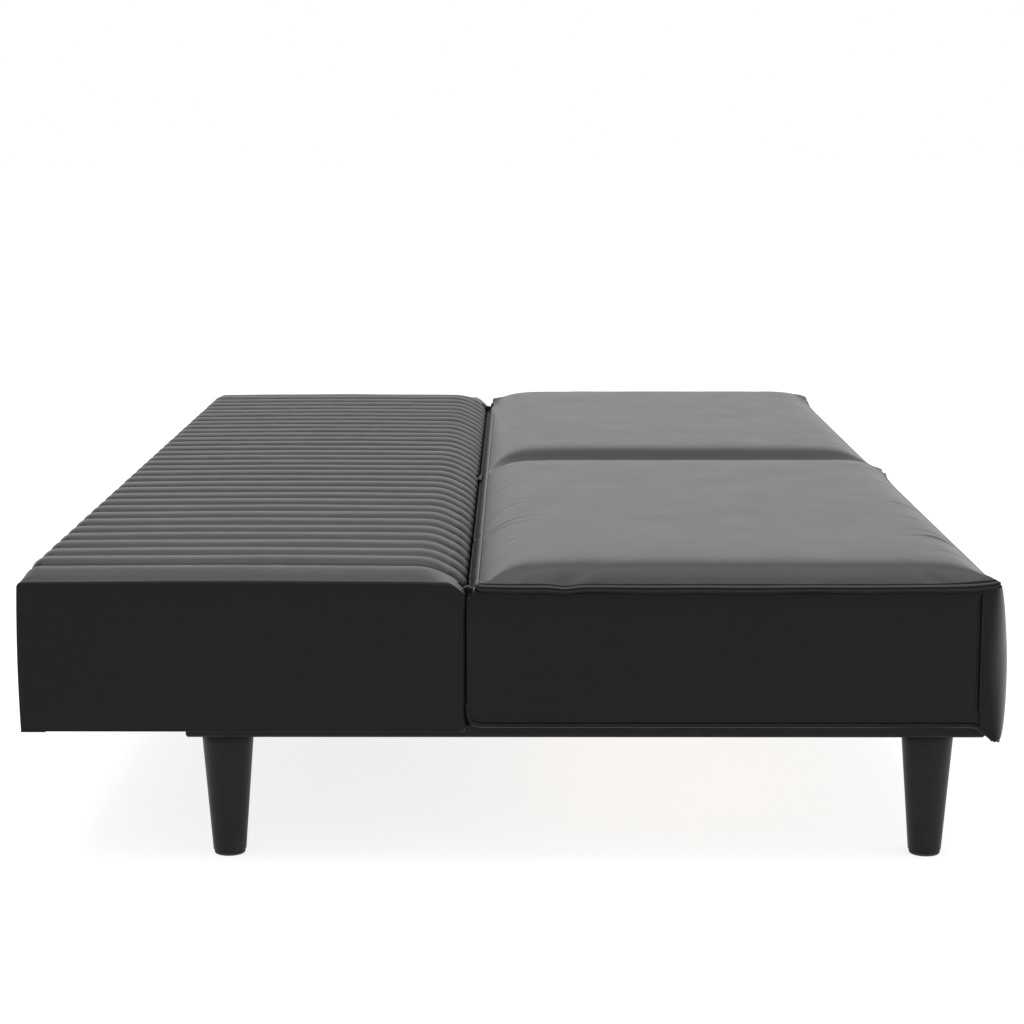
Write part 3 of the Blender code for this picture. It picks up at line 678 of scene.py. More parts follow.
def seat_top(side, sign, seed):
    """One crowned seat top with its creases, closed underneath."""
    edge_x = END_X - PAD_INSET
    length = edge_x - 0.0004
    a, b = np.meshgrid(length * eased(400, 0.35), eased(240, 0.45), indexing="ij")
    y_front = front_seam_y(a, side) + PAD_INSET
    y_inner = SEAM_IN_Y - 0.5 * PAD_INSET
    y = y_inner + (y_front - y_inner) * b
    from_inner = y_inner - y
    from_front = y - y_front
    to_middle = length - a
    x = edge_x - a
    middle = rise(to_middle, *MIDDLE_FLANK) if side == "right" else gutter(to_middle, GUTTER_REACH)
    outer = rise(a, *OUTER_FLANK[side])
    inner = rise(from_inner, *INNER_FLANK)
    front = rise(from_front, *FRONT_FLANK)
    flank = soft_least([outer, middle, inner, front], FLANK_SHARPNESS)
    rises = [rise(distance, SWELL_LONG) for distance in (a, to_middle)]
    rises += [rise(distance, SWELL_WIDE) for distance in (from_inner, from_front)]
    swell = soft_least(rises, SWELL_SHARPNESS)
    near = [np.exp(-d / reach) for d, reach in zip((a, from_inner, from_front), LIFT_REACH)]
    lifts = (end_seam_lift(y), inner_seam_lift(a), seam_lift(a))
    rim = SEAM_Z + sum(w * lift for w, lift in zip(near, lifts)) / np.maximum(sum(near), 1.0)
    valley = VALLEY_DEPTH * np.exp(-to_middle / 0.03) * np.sqrt(np.sin(pi * b))
    z = rim - valley + (CROWN - SWELL_HEIGHT) * flank + SWELL_HEIGHT * swell
    z = z + fold_depth(INNER_CREASES[side], a, from_inner)
    z = z + fold_depth(FRONT_CREASES[side], a, from_front)
    z = z + fold_depth(END_CREASES, from_inner, a)
    z = z + fold_depth(MIDDLE_CREASES, from_inner, to_middle)
    for step, height, wave in SURFACE_WAVES:
        z = z + height * waves(seed + step, a, y, wave, 1) * flank
    obj = pad(f"seat_top_{side}", np.stack([sign * x, y, z], axis=-1), PAD_Z + 0.0004)
    upholster(obj, [f"seat_cushion_{side}"])


# The sewn edge in section, as (out from the seam, down from it): a folded welt over a smaller ridge
SEAM_SECTION = (
    (-0.006, 0.0003), (-0.0026, 0.0005), (-0.0018, 0.0007), (-0.0006, 0.0011),
    (0.0006, 0.0016), (0.0016, 0.0023), (0.0021, 0.0031), (0.002, 0.0038),
    (0.0014, 0.0042), (0.0018, 0.0046), (0.0027, 0.0053), (0.0033, 0.0061),
    (0.0034, 0.0069), (0.003, 0.0077), (0.002, 0.0083), (-0.006, 0.0085),
)
# The thread's place in that section, and the seam's share of its full size beside the gap
SEAM_THREAD = (0.0013, 0.0042)
INNER_SEAM_SIZE = 0.5


def seam_path(side):
    """Rows (x, y, z, out x, out y, size) along the seam round a seat top, from the middle by the front."""
    rows = []
    for d in np.linspace(END_X - 0.001, SEAM_TURN, 260):
        rows.append((END_X - d, front_seam_y(d, side), SEAM_Z + seam_lift(d), 0.0, -1.0, 1.0))
    x, y = END_X - SEAM_TURN, rows[-1][1] + SEAM_TURN
    z = SEAM_Z + seam_lift(0.0)
    for angle in np.linspace(-pi / 2, 0, 9)[1:]:
        c, s = cos(angle), sin(angle)
        rows.append((x + SEAM_TURN * c, y + SEAM_TURN * s, z, c, s, 1.0))
    for y in np.linspace(rows[-1][1], SEAM_IN_Y - SEAM_TURN, 230)[1:]:
        rows.append((END_X, y, SEAM_Z + end_seam_lift(y), 1.0, 0.0, 1.0))
    y = SEAM_IN_Y - SEAM_TURN
    z = SEAM_Z + end_seam_lift(SEAM_IN_Y)
    for angle in np.linspace(0, pi / 2, 9)[1:]:
        c, s = cos(angle), sin(angle)
        size = 1 - (1 - INNER_SEAM_SIZE) * s
        rows.append((x + SEAM_TURN * c, y + SEAM_TURN * s, z, c, s, size))
    for d in np.linspace(SEAM_TURN, END_X - 0.001, 260)[1:]:
        rows.append((END_X - d, SEAM_IN_Y, SEAM_Z + inner_seam_lift(d), 0.0, 1.0, INNER_SEAM_SIZE))
    return np.array(rows)


def seat_seam(side, sign, seed):
    """The double sewn edge round three sides of a seat top, with its row of thread."""
    path = seam_path(side)
    along = np.arange(len(path)) * 0.003
    size = path[:, 5] * (1 + 0.1 * np.sin(along * 31.0 + seed) * np.sin(along * 13.0))
    lines = []
    for out, down in (*SEAM_SECTION, SEAM_THREAD):
        x = path[:, 0] + path[:, 3] * out * size
        y = path[:, 1] + path[:, 4] * out * size
        z = path[:, 2] - down * size
        lines.append(np.stack([sign * x, y, z], axis=1))
    upholster(lofted(f"seat_seam_{side}", np.stack(lines[:-1], axis=1)))
    row = stitches(f"seat_stitch_{side}", lines[-1], radius=0.00035)
    dress(row, THREAD, "base")


# ---- Seat boxing ----

# Depth and width of the soft corner at each end of the front panel, at the seams and half-way up
CORNER_AT_SEAM = (0.006, 0.005)
CORNER_HALF_WAY = (0.05, 0.029)
FRONT_BULGE = 0.0162
CORNER_POWER = 1.25
HEM_Y = -0.4868
TAIL_STEPS = 9
# Where the panel's inner skin runs below and above the bottom of the end panels
INNER_SKIN_Y = (-0.48, -0.462)
# The hem climbs from the front corner to the bottom of the end panel: Y, and share of the climb
HEM_CLIMB = ((-0.488, 0.0), (-0.4858, 0.02), (-0.4765, 0.38), (-0.465, 0.93), (-0.46, 1.0))


def front_profile(z, x):
    """Y of the front panel's face at each height, at a place along the sofa."""
    part = np.clip((z - HEM_Z) / (SEAM_Z - HEM_Z), 0, 1)
    a = HALF - np.abs(x)
    top = np.where(np.asarray(x) < 0, front_seam_y(a, "right"), front_seam_y(a, "left")) - 0.001
    line = HEM_Y + (top - HEM_Y) * part**2.2
    return line - FRONT_BULGE * np.sin(part * pi) ** 0.47


def hem_height(y):
    """Z of the hem where it climbs round the front corner."""
    share = np.interp(y, [place for place, _ in HEM_CLIMB], [part for _, part in HEM_CLIMB])
    return HEM_Z + (BOX_BOTTOM + 0.001 - HEM_Z) * share


def front_station(side, reach, turn, tail, t):
    """An upright section of the front panel: reach along the front, turn round its corner, tail past it."""
    past_turn = FRONT_TAIL_Y - HEM_Y - CORNER_AT_SEAM[1]
    bottom_y = HEM_Y + CORNER_AT_SEAM[1] * (1 - cos(turn)) + tail * past_turn
    low = hem_height(bottom_y) if turn > 0 else HEM_Z
    lift = seam_lift(HALF * (1 - reach)) if turn == 0 else end_seam_lift(bottom_y)
    z = low + (SEAM_Z + lift - SEAM_DROP - low) * t
    full = np.clip(np.sin(np.clip((z - HEM_Z) / (SEAM_Z - HEM_Z), 0, 1) * pi), 0, 1)
    depth = CORNER_AT_SEAM[0] + (CORNER_HALF_WAY[0] - CORNER_AT_SEAM[0]) * full**0.7
    width = CORNER_AT_SEAM[1] + (CORNER_HALF_WAY[1] - CORNER_AT_SEAM[1]) * full**0.7
    x = (HALF - depth) * reach + depth * sin(turn) ** CORNER_POWER
    face = front_profile(z, side * (HALF - depth) * reach)
    y = face + width * (1 - max(cos(turn), 0.0) ** CORNER_POWER)
    y = y + tail * np.maximum(FRONT_TAIL_Y - y, 0.0005)
    return np.stack([side * x, y, z], axis=1)


def front_boxing():
    """The padded front panel, wrapped round both front corners to a seam on each end."""
    t = eased(76, 0.8)
    stations = [(-1.0, 1.0, pi / 2, tail) for tail in np.linspace(1.0, 0.0, TAIL_STEPS)]
    stations += [(-1.0, 1.0, turn, 0.0) for turn in np.linspace(pi / 2, 0, 30)[1:]]
    for reach in np.linspace(-1.0, 1.0, 440)[1:-1]:
        stations.append((1.0 if reach >= 0 else -1.0, abs(reach), 0.0, 0.0))
    stations += [(1.0, 1.0, turn, 0.0) for turn in np.linspace(0, pi / 2, 30)]
    stations += [(1.0, 1.0, pi / 2, tail) for tail in np.linspace(0.0, 1.0, TAIL_STEPS)[1:]]
    outer = np.array([front_station(*station, t) for station in stations])
    x, y, z = outer[..., 0], outer[..., 1], outer[..., 2]
    part = np.clip((z - HEM_Z) / (SEAM_Z - HEM_Z), 0, 1)
    full = np.sin(part * pi)
    flat = np.clip((HALF - np.abs(x)) / 0.06, 0, 1)
    swell = 0.0012 * waves(91, x, z * 2.2, 0.34, 2)
    upper = make_folds(92, 2 * HALF, 26, 0.0011, 0.036, 0.011)
    lower = make_folds(93, 2 * HALF, 22, 0.001, 0.04, 0.013)
    creases = fold_depth(upper, x + HALF, np.maximum(SEAM_Z - SEAM_DROP - z, 0))
    creases = creases + fold_depth(lower, x + HALF, np.maximum(z - HEM_Z, 0))
    turned = np.array([station[2] for station in stations])[:, None]
    tail = np.array([station[3] for station in stations])[:, None]
    ripple = full * np.sin(turned) * (1 - tail) * waves(95, x * 0.6, z, 0.05, 1)
    outer[..., 1] = y + flat * (full * swell - creases) + 0.0016 * ripple
    outer[..., 0] += np.sign(x) * 0.0012 * ripple
    inner = outer.copy()
    inner[..., 0] = np.sign(x) * np.minimum(np.abs(x), HALF - 0.0065)
    skin = np.maximum(outer[..., 1] + 0.0035, np.where(z < BOX_BOTTOM, *INNER_SKIN_Y))
    inner[..., 1] = np.maximum(np.minimum(skin, FRONT_TAIL_Y), outer[..., 1] + 0.002)
    obj = lofted("seat_front_boxing", np.concatenate([outer, inner[:, ::-1]], axis=1))
    upholster(obj, ["seat_front_panel"])
    hem = outer[TAIL_STEPS:-TAIL_STEPS, 0].copy()
    hem[:, 2] += 0.0008
    upholster(tube("seat_front_hem", resample(hem, 0.006), 0.0016))


# The seat's edge beside the gap slopes down to a low lip, so that the back can turn over it:
# (distance before the gap, drop below the seam)
SEAT_EDGE = (
    (0.0101, 0.0), (0.008, 0.0014), (0.006, 0.0034), (0.004, 0.0055), (0.002, 0.0073), (0.0, 0.0082),
)
# The same edge on the end panels, where the seam stands higher
END_EDGE = (
    (0.008, 0.0), (0.007, 0.0022), (0.0062, 0.0044), (0.0054, 0.0068), (0.0047, 0.0092), (0.0036, 0.0114),
    (0.0, 0.0131),
)
END_EDGE_Z = SEAM_Z - 0.0031


def rounded_top(y, top_z, edge=SEAT_EDGE):
    """Top of the seat's side panels: it slopes down beside the gap."""
    before = [place for place, _ in reversed(edge)]
    drops = [drop for _, drop in reversed(edge)]
    return top_z - np.interp(GAP_SEAT_Y - y, before, drops)


def end_boxing(side, sign):
    """The flat panel on one end of the seat, padded by a few millimetres."""
    y_line = CORNER_SEAM_Y + (GAP_SEAT_Y - CORNER_SEAM_Y) * eased(190, 0.6)
    y, t = np.meshgrid(y_line, eased(60, 0.5), indexing="ij")
    inner_corner = np.clip((y - (GAP_SEAT_Y - 0.01)) / 0.01, 0, 1)
    low = BOX_BOTTOM + 0.0008 + 0.016 * (1 - np.sqrt(1 - inner_corner**2))
    seam = SEAM_Z + end_seam_lift(np.minimum(y, SEAM_IN_Y))
    top = np.minimum(seam - SEAM_DROP, rounded_top(y, END_EDGE_Z, END_EDGE))
    z = low + (top - low) * t
    puff = soft_least([
        rise(y - y_line[0], 0.03), rise(z - low + 1e-4, 0.03), rise(top - z + 1e-4, 0.034, 2.2)
    ], 4.0)
    edge = np.clip(1 - (y_line[-1] - y) / 0.0022, 0, 1)
    x = HALF - 0.0016 + 0.0034 * puff - 0.0012 * (1 - np.sqrt(np.maximum(1 - edge**2, 0)))
    x = x + 0.0003 * waves(51 + sign, y, z, 0.16, 2) * puff
    folds = make_folds(61 + sign, 0.5, 8, 0.001, 0.03, 0.012)
    x = x + 0.4 * fold_depth(folds, y_line[-1] - y, top - z)
    outer = np.stack([sign * x, y, z], axis=-1)
    inner = outer.copy()
    inner[..., 0] = sign * (end_low.x + 0.001)
    obj = lofted(f"seat_end_boxing_{side}", np.concatenate([outer, inner[:, ::-1]], axis=1))
    upholster(obj, [f"seat_{side}_end_panel"])
    corner_seam(side, sign)
    end_hem(side, sign)


def corner_seam(side, sign):
    """The upright welt where the front panel meets an end panel, and the thread beside it."""
    heights = np.linspace(BOX_BOTTOM + 0.016, SEAM_Z - 0.011, 30)
    ridge = [(sign * (HALF + 0.0004), CORNER_SEAM_Y, z) for z in heights]
    upholster(tube(f"seat_corner_seam_{side}", ridge, 0.0014))
    beside = [(sign * (HALF - 0.0002), CORNER_SEAM_Y + 0.004, z) for z in heights[1:-1]]
    row = stitches(f"seat_corner_stitch_{side}", beside, radius=0.0003)
    dress(row, THREAD, "base")


def end_hem(side, sign):
    """The piping along the bottom of an end panel: up its edge by the gap, and round the front corner."""
    hem_x = sign * (HALF - 0.0004)
    bottom = BOX_BOTTOM + 0.0016
    hem = [(hem_x, GAP_SEAT_Y - 0.0012, bottom + 0.0234), (hem_x, GAP_SEAT_Y - 0.002, bottom + 0.0104)]
    hem += [(hem_x, GAP_SEAT_Y - 0.0042, bottom + 0.004), (hem_x, GAP_SEAT_Y - 0.008, bottom + 0.0012)]
    hem += [(hem_x, y, bottom) for y in np.linspace(GAP_SEAT_Y - 0.014, -0.458, 60)]
    hem += [(hem_x, y, hem_height(y) + 0.0006) for y in np.linspace(-0.46, HEM_Y + 0.003, 24)]
    upholster(tube(f"seat_hem_{side}", resample(hem, 0.004), 0.0022))


def rear_boxing():
    """The seat's side that faces the gap, notched for the two mechanisms and the hinge."""
    x_line = np.linspace(-HALF + 0.029, HALF - 0.029, 460)[:, None]
    top = SEAM_Z + inner_seam_lift(HALF - np.abs(x_line)) - 0.0006
    low = BOX_BOTTOM + 0.0006
    lip = top - SEAT_EDGE[-1][1]
    side_z = low + (lip - low) * np.linspace(0, 1, 44)[None, :-1]
    side_y = np.full_like(side_z, GAP_SEAT_Y)
    edge_y = GAP_SEAT_Y - np.linspace(0.0, SEAT_EDGE[0][0], 16)[None, :] + 0 * x_line
    edge_z = rounded_top(edge_y, top)
    y = np.concatenate([side_y, edge_y], axis=1)
    z = np.concatenate([side_z, edge_z], axis=1)
    x = np.broadcast_to(x_line, y.shape)
    folds = make_folds(71, 2 * HALF, 40, 0.0012, 0.028, 0.007)
    gathers = np.minimum(fold_depth(folds, x + HALF, np.maximum(top - z, 0.0)), 0.0)
    outer = np.stack([x, y + gathers, z], axis=-1)
    inner = outer.copy()
    inner[..., 1] = rear_low.y + 0.0004
    obj = lofted("seat_rear_boxing", np.concatenate([outer, inner[:, ::-1]], axis=1))
    for sign in (1, -1):
        near, far = sorted(sign * x for x in PLATE_SLOT_X)
        cut_box(obj, (near, 0.0, SEAT_SLOT_Z[0]), (far, PAST_GAP_Y, SEAT_SLOT_Z[1]))
    hinge_y = hinge_seat_low.y - HINGE_CLEARANCE
    cut_box(obj, (HINGE_X[0], hinge_y, HINGE_SLOT_Z[0]), (HINGE_X[1], PAST_GAP_Y, HINGE_SLOT_Z[1]))
    upholster(obj, ["seat_rear_panel"])


# ---- Ribbed back ----

# Puckers that the sewing pulls into both sides of a channel
PUCKER_HEIGHT = 0.00024
PUCKER_REACH = 0.0085
PUCKER_LENGTHS = (0.031, 0.019, 0.013, 0.047)
STATIONS_PER_RIB = 18


def corner_points(centre, radii, start, end, count, power):
    """Points and outward normals of a soft corner, as (y, z, normal y, normal z) rows."""
    rows = []
    for angle in np.linspace(start, end, count):
        c, s = cos(angle), sin(angle)
        y = centre[0] + radii[0] * np.sign(c) * abs(c) ** (2 / power)
        z = centre[1] + radii[1] * np.sign(s) * abs(s) ** (2 / power)
        rows.append((y, z, c, s))
    return rows


def back_line(x):
    """Outer line of the back's cover at X, as (y, z, normal y, normal z) rows, inner hem to outer hem."""
    to_end = HALF - x
    soft = np.clip(to_end / 0.03, 0, 1) ** 0.5
    top_z = BACK_EDGE_Z + 0.01 * np.sin(np.clip(to_end / 0.07, 0, 1) * pi / 2)
    inner = (0.0165 + 0.002 * soft, 0.014 + 0.001 * soft)
    outer = (0.0035 + 0.015 * soft, 0.0035 + 0.013 * soft)
    centre_in = (GAP_BACK_Y + inner[0], BACK_INNER_Z - inner[1])
    centre_out = (BACK_OUT - OUTER_INSET - outer[0], top_z - outer[1])
    rows = [(GAP_BACK_Y, z, -1.0, 0.0) for z in np.linspace(BACK_LINING_Z, centre_in[1], 26)[:-1]]
    rows += corner_points(centre_in, inner, pi, pi / 2, 14, 1.25)
    span = centre_out[0] - centre_in[0]
    for part in np.linspace(0, 1, 90)[1:-1]:
        climb = rise(part, 0.085, 2.2)
        level = BACK_INNER_Z + (top_z - BACK_INNER_Z) * climb + 0.0012 * sin(pi * part)
        rows.append((centre_in[0] + span * part, level, 0.0, 1.0))
    rows += corner_points(centre_out, outer, pi / 2, 0, 14, 2.3)
    rows += [(BACK_OUT - OUTER_INSET, z, 1.0, 0.0) for z in np.linspace(centre_out[1], BACK_BOTTOM, 30)[1:]]
    rows = np.array(rows)
    height = np.clip((rows[:, 1] - BACK_BOTTOM) / (BACK_EDGE_Z - BACK_BOTTOM), 0, 1)
    outside = np.clip((rows[:, 0] - (BACK_OUT - 0.03)) / 0.027, 0, 1)
    rows[:, 0] += 0.0016 * outside * np.sin(height * pi) ** 0.8
    return rows


def rib_inset(u):
    """How far the cover lies below its full thickness at 0 to 1 across a rib."""
    arch = 1 - abs(2 * u - 1) ** 2.2
    return RIB_DEPTH * (1 - arch**0.75)


def back_stations():
    """(x, inset) rows for the sections of the ribbed cover. The last rib ends at its full height."""
    rows = []
    for rib in range(RIB_COUNT - 1):
        for k in range(STATIONS_PER_RIB):
            u = k / STATIONS_PER_RIB
            u = u - 0.12 * sin(2 * pi * u) / 2
            rows.append(((rib + u) * RIB_PITCH, rib_inset(u)))
    rows[0] = (0.0004, RIB_DEPTH)
    start = (RIB_COUNT - 1) * RIB_PITCH
    for u in np.linspace(0, 1, 30):
        inset = rib_inset(u) if u < 0.5 else 0.0008 * (2 * u - 1) ** 3
        rows.append((start + (HALF - 0.0012 - start) * u, inset))
    return np.array(rows)


def back_cover(side, sign, seed):
    """Half of the back's channel-stitched cover, hollow underneath, with thread in each channel."""
    stations = back_stations()
    lines = np.array([back_line(x) for x, _ in stations])
    inset = stations[:, 1][:, None]
    outer = np.zeros((*lines.shape[:2], 3))
    outer[..., 0] = stations[:, 0][:, None]
    outer[..., 1] = lines[..., 0] - lines[..., 2] * inset
    outer[..., 2] = lines[..., 1] - lines[..., 3] * inset
    steps = np.hypot(np.diff(lines[0, :, 0]), np.diff(lines[0, :, 1]))
    along = np.concatenate([[0.0], np.cumsum(steps)])
    s, x = np.meshgrid(along, stations[:, 0])
    in_rib = np.sin((x / RIB_PITCH % 1.0) * pi)
    rng = np.random.default_rng(seed)
    pucker = np.zeros_like(s)
    for rib in range(RIB_COUNT):
        near = np.exp(-(((x - rib * RIB_PITCH) / PUCKER_REACH) ** 2))
        phase = rng.uniform(0, 2 * pi, len(PUCKER_LENGTHS))
        for k, length in enumerate(PUCKER_LENGTHS):
            pucker += near * PUCKER_HEIGHT * np.sin(2 * pi * s / length + phase[k])
    pucker += 0.0005 * waves(seed + 7, s, x * 1.7, 0.22, 2) * in_rib
    outer[..., 1] += pucker * lines[..., 2]
    outer[..., 2] += pucker * lines[..., 3]
    y_out = BACK_OUT - BACK_WALL - 0.004
    y_in = BACK_IN + BACK_WALL
    ceiling = cushion_high.z - 0.066
    hollow = np.array([(y_out, BACK_BOTTOM), (y_out, ceiling), (y_in, ceiling), (y_in, BACK_LINING_Z)])
    inner = np.zeros((len(stations), 4, 3))
    inner[..., 0] = stations[:, 0][:, None]
    inner[..., 1:] = hollow[None]
    flip = np.array([sign, 1, 1])
    obj = lofted(f"back_cover_{side}", np.concatenate([outer, inner], axis=1) * flip)
    low, high = sorted(sign * x for x in PLATE_SLOT_X)
    cut_box(obj, (low, GAP_MIDDLE_Y, ARM_SLOT_Z[0]), (high, ARM_SLOT_END_Y, ARM_SLOT_Z[1]))
    cut_box(obj, (low, GAP_MIDDLE_Y, PIN_SLOT_Z[0]), (high, PIN_SLOT_END_Y, PIN_SLOT_Z[1]))
    low, high = sorted(sign * x for x in HINGE_BACK_X)
    hinge_y = hinge_back_high.y + HINGE_CLEARANCE
    cut_box(obj, (low, GAP_MIDDLE_Y, HINGE_SLOT_Z[0]), (high, hinge_y, HINGE_SLOT_Z[1]))
    dress(obj, RIBBED, "back", [f"back_cushion_{side}"])
    grooves = []
    for rib in range(1, RIB_COUNT):
        index = int(np.argmin(np.abs(stations[:, 0] - rib * RIB_PITCH)))
        line = (outer[index] * flip)[30:-2]
        grooves.append(stitches(f"groove_{rib}", line, 0.0062, 0.0042, 0.0005))
    dress(join(grooves, f"back_channel_stitch_{side}"), THREAD, "back")


def join(pieces, name):
    """Puts the meshes of several pieces into one new piece, and removes them."""
    bm = bmesh.new()
    for piece in pieces:
        bm.from_mesh(piece.data)
    for piece in pieces:
        bpy.data.objects.remove(piece, do_unlink=True)
    return link_bmesh(name, bm)


# The end panel's face in section, as (in from its edge, out from its rim)
END_PUFF = (
    (0.0, 0.0008), (0.0004, 0.002), (0.0012, 0.003), (0.0028, 0.0035), (0.006, 0.0037), (0.011, 0.0039),
    (0.02, 0.0041), (0.032, 0.0042), (0.05, 0.0043), (0.068, 0.0043),
)


def back_end(side, sign):
    """The padded end panel of the back, sewn into the edge of the ribbed cover."""
    line = back_line(HALF - 0.0012)
    beside_gap = line[:, 2] < -0.99
    inset = np.where(beside_gap, 0.0002, 0.0013)
    y = line[:, 0] - line[:, 2] * inset
    z = line[:, 1] - line[:, 3] * inset
    bottom = [(place, BACK_BOTTOM + 0.0008) for place in np.linspace(y[-1], y[0], 60)]
    rim = np.array([p for p in zip(y, z) if p[1] > BACK_BOTTOM + 0.0012] + bottom)
    centre = np.array([(BACK_IN + BACK_OUT) / 2, (BACK_BOTTOM + BACK_EDGE_Z) / 2])
    half = np.array([(BACK_OUT - BACK_IN) / 2, (BACK_EDGE_Z - BACK_BOTTOM) / 2])
    base_x = HALF - 0.004
    rings = [np.concatenate([np.full((len(rim), 1), sign * (base_x - 0.008)), rim], axis=1)]
    for inward, out in END_PUFF:
        points = centre + (rim - centre) * (1 - inward / half)
        rings.append(np.concatenate([np.full((len(rim), 1), sign * (base_x + out)), points], axis=1))
    obj = lofted(f"back_end_boxing_{side}", np.array(rings))
    upholster(obj, [f"back_{side}_end_panel"], "back")
    rim_path = np.stack([np.full(len(y), sign * (HALF - 0.0034)), y, z], axis=1)
    upholster(tube(f"back_end_welt_{side}", resample(rim_path, 0.004), 0.0008), body="back")
    hem_x = sign * (HALF - 0.0012)
    hem_y = np.linspace(GAP_BACK_Y + 0.006, BACK_OUT - 0.006, 50)
    hem = [(hem_x, place, BACK_BOTTOM + 0.0016) for place in hem_y]
    upholster(tube(f"back_hem_{side}", hem, 0.0008), body="back")


# ---- Foam, lining, legs and the CAD nodes that stay ----

def foam_block(node, name, body):
    """A foam block with rounded edges."""
    bm = box_bmesh(*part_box(node))
    bmesh.ops.bevel(bm, geom=list(bm.edges), offset=0.006, segments=3, affect="EDGES", profile=0.5)
    long_edges = [edge for edge in bm.edges if edge.calc_length() > 0.2]
    bmesh.ops.subdivide_edges(bm, edges=long_edges, cuts=12, use_grid_fill=True)
    dress(link_bmesh(name, bm), FOAM, body, [node])


def dust_cloth():
    """Black cloth stapled under the back, with a slight sag between the rails."""
    low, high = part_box("back_dust_cover")
    x_line = np.linspace(low.x, high.x, 160)
    y_line = np.linspace(low.y, high.y, 50)
    x, y = np.meshgrid(x_line, y_line, indexing="ij")
    ends = [rise(x - low.x, 0.1), rise(high.x - x, 0.1)]
    sides = [rise(y - low.y, 0.06), rise(high.y - y, 0.06)]
    edge = soft_least(ends + sides, 3.0)
    z = high.z - 0.0003 - 0.0007 * edge + 0.00015 * waves(33, x, y, 0.1)
    top = np.stack([x, y, z + 0.0003], axis=-1)
    under = np.stack([x, y, z - 0.0003], axis=-1)
    obj = lofted("back_dust_cloth", np.concatenate([top, under[:, ::-1]], axis=1))
    dress(obj, LINING, "back", ["back_dust_cover"])


# Radius of a leg's foot, the rounding of its two edges, and the space above its glide's top
FOOT_RADIUS = 0.017
TOP_EASE = 0.0012
FOOT_EASE = 0.0016
FOOT_GAP = 0.0003


def leg(place):
    """A turned, tapered leg with eased edges."""
    low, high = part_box(f"leg_{place}")
    centre = ((low.x + high.x) / 2, (low.y + high.y) / 2)
    top_radius = (high.x - low.x) / 2
    top_z = high.z - TOP_EASE
    foot_z = low.z + FOOT_GAP + FOOT_EASE
    profile = [(top_radius - TOP_EASE, high.z), (top_radius, top_z)]
    for part in np.linspace(0.0, 1.0, 12)[1:]:
        profile.append((top_radius + (FOOT_RADIUS - top_radius) * part, top_z + (foot_z - top_z) * part))
    for angle in np.linspace(0, pi / 2, 6)[1:]:
        profile.append((FOOT_RADIUS - FOOT_EASE * (1 - cos(angle)), foot_z - FOOT_EASE * sin(angle)))
    segments = 72
    points = []
    for radius, z in profile:
        for k in range(segments):
            angle = 2 * pi * k / segments
            points.append((centre[0] + radius * cos(angle), centre[1] + radius * sin(angle), z))
    obj = lofted(f"leg_{place}_turned", np.array(points).reshape(len(profile), segments, 3))
    flat_top = obj.data.polygons[len(obj.data.polygons) - 2]
    flat_top.use_smooth = False
    dress(obj, LEG_PAINT, "base", [f"leg_{place}"])


def repaint(names, material):
    """Gives carried-over CAD nodes their material."""
    for name in names:
        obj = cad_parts[name]
        obj.data.materials.clear()
        obj.data.materials.append(material)


def carried_over():
    """Materials for the frame, timber, boards and hardware, which keep their CAD shapes."""
    names = sorted(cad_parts)
    repaint([n for n in names if n.startswith("base_")], FRAME_PAINT)
    repaint([n for n in names if n.startswith(("foot_glide", "rest_bumper"))], RUBBER)
    along_x = ("front_rail", "rear_rail", "inner_rail", "outer_rail")
    repaint([n for n in names if n.startswith(("seat_", "back_")) and n.endswith(along_x)], PINE_X)
    along_y = ("seat_left_rail", "seat_right_rail", "seat_centre_rail")
    repaint([n for n in names if n in along_y or n.endswith("_stile")], PINE_Y)
    repaint(["seat_deck", "back_panel"], PLYWOOD)
    repaint([n for n in names if n.startswith(("pawl", "leg_bolt"))], STEEL)
    black = ("seat_plate", "recline_arm", "hinge_", "pivot_pin", "pawl_pin")
    repaint([n for n in names if n.startswith(black)], BLACK_STEEL)


# ---- Studio ----

FLOOR_HALF = 40.0
FLOOR_Z = -0.0002
# Lights as (name, place, target, size, watts)
LIGHTS = (
    ("overhead", (0.0, 0.0, 3.0), (0.0, 0.0, 0.0), (4.0, 3.0), 105.0),
    ("behind", (3.0, 0.0, 1.8), (-0.5, 0.0, 0.3), (3.0, 1.0), 6.0),
    ("beside", (-2.2, -3.6, 0.9), (-0.8, -0.48, 0.2), (1.6, 1.6), 13.0),
)
# The camera looks along +X from beyond the near end: distance from that end, Y, Z, tilt and turn
CAMERA_BEFORE_END = 2.392
CAMERA_Y = -0.0066
CAMERA_Z = 0.7446
CAMERA_TILT = radians(8.971)
CAMERA_TURN = 0.003
CAMERA_LENS = 86.24


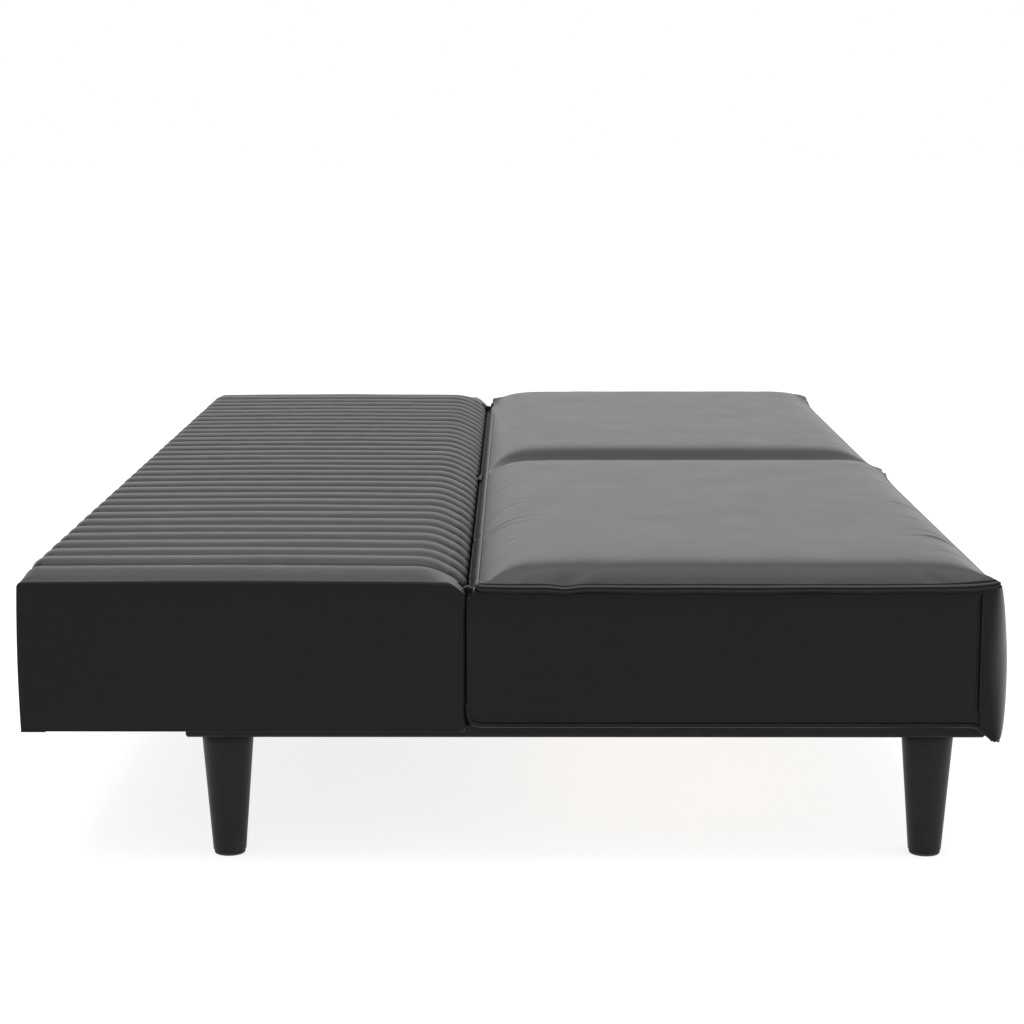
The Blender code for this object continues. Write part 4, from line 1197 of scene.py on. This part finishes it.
def studio():
    """A pale floor, and a white room that lights it evenly."""
    corners = [(x * FLOOR_HALF, y * FLOOR_HALF, 0.0) for x, y in ((-1, -1), (1, -1), (1, 1), (-1, 1))]
    floor = link_mesh("studio_floor", corners, [(0, 1, 2, 3)], False)
    floor.location.z = FLOOR_Z
    n = Nodes("pale_floor")
    n.use(
        Base_Color=(0.28, 0.28, 0.28, 1.0),
        Roughness=0.9,
        Specular_IOR_Level=0.1,
        Emission_Color=(1.0, 1.0, 1.0, 1.0),
        Emission_Strength=0.82,
    )
    floor.data.materials.append(n.material)
    world = bpy.data.worlds.new("white_room")
    world.use_nodes = True
    background = world.node_tree.nodes["Background"]
    background.inputs["Color"].default_value = (1.0, 1.0, 1.0, 1.0)
    background.inputs["Strength"].default_value = 1.0
    bpy.context.scene.world = world


def area_light(name, place, target, size, watts):
    """A soft rectangular lamp, turned to its target, that the camera doesn't see."""
    light = bpy.data.lights.new(name, "AREA")
    light.shape = "RECTANGLE"
    light.size, light.size_y = size
    light.energy = watts
    obj = link_object(name, light)
    obj.location = place
    obj.rotation_euler = (Vector(target) - Vector(place)).to_track_quat("-Z", "Y").to_euler()
    obj.visible_camera = False


def camera():
    """The camera at the photograph's viewing angle."""
    data = bpy.data.cameras.new("camera")
    data.sensor_width = 36.0
    data.lens = CAMERA_LENS
    data.clip_end = 200.0
    obj = link_object("camera", data)
    obj.location = (cad_low.x - CAMERA_BEFORE_END, CAMERA_Y, CAMERA_Z)
    obj.rotation_euler = (pi / 2 - CAMERA_TILT, 0.0, -pi / 2 + CAMERA_TURN)
    bpy.context.scene.camera = obj


def main():
    for number, (side, sign) in enumerate((("left", 1), ("right", -1))):
        seat_top(side, sign, 11 + 40 * number)
        seat_seam(side, sign, 3 + number)
        end_boxing(side, sign)
        back_cover(side, sign, 5 + 30 * number)
        back_end(side, sign)
    front_boxing()
    rear_boxing()
    foam_block("seat_foam", "seat_foam_block", "base")
    foam_block("back_foam", "back_foam_block", "back")
    dust_cloth()
    for place in ("front_left", "front_right", "rear_left", "rear_right"):
        leg(place)
    carried_over()
    studio()
    for light in LIGHTS:
        area_light(*light)
    camera()
    bpy.context.scene.view_settings.view_transform = "Standard"


main()
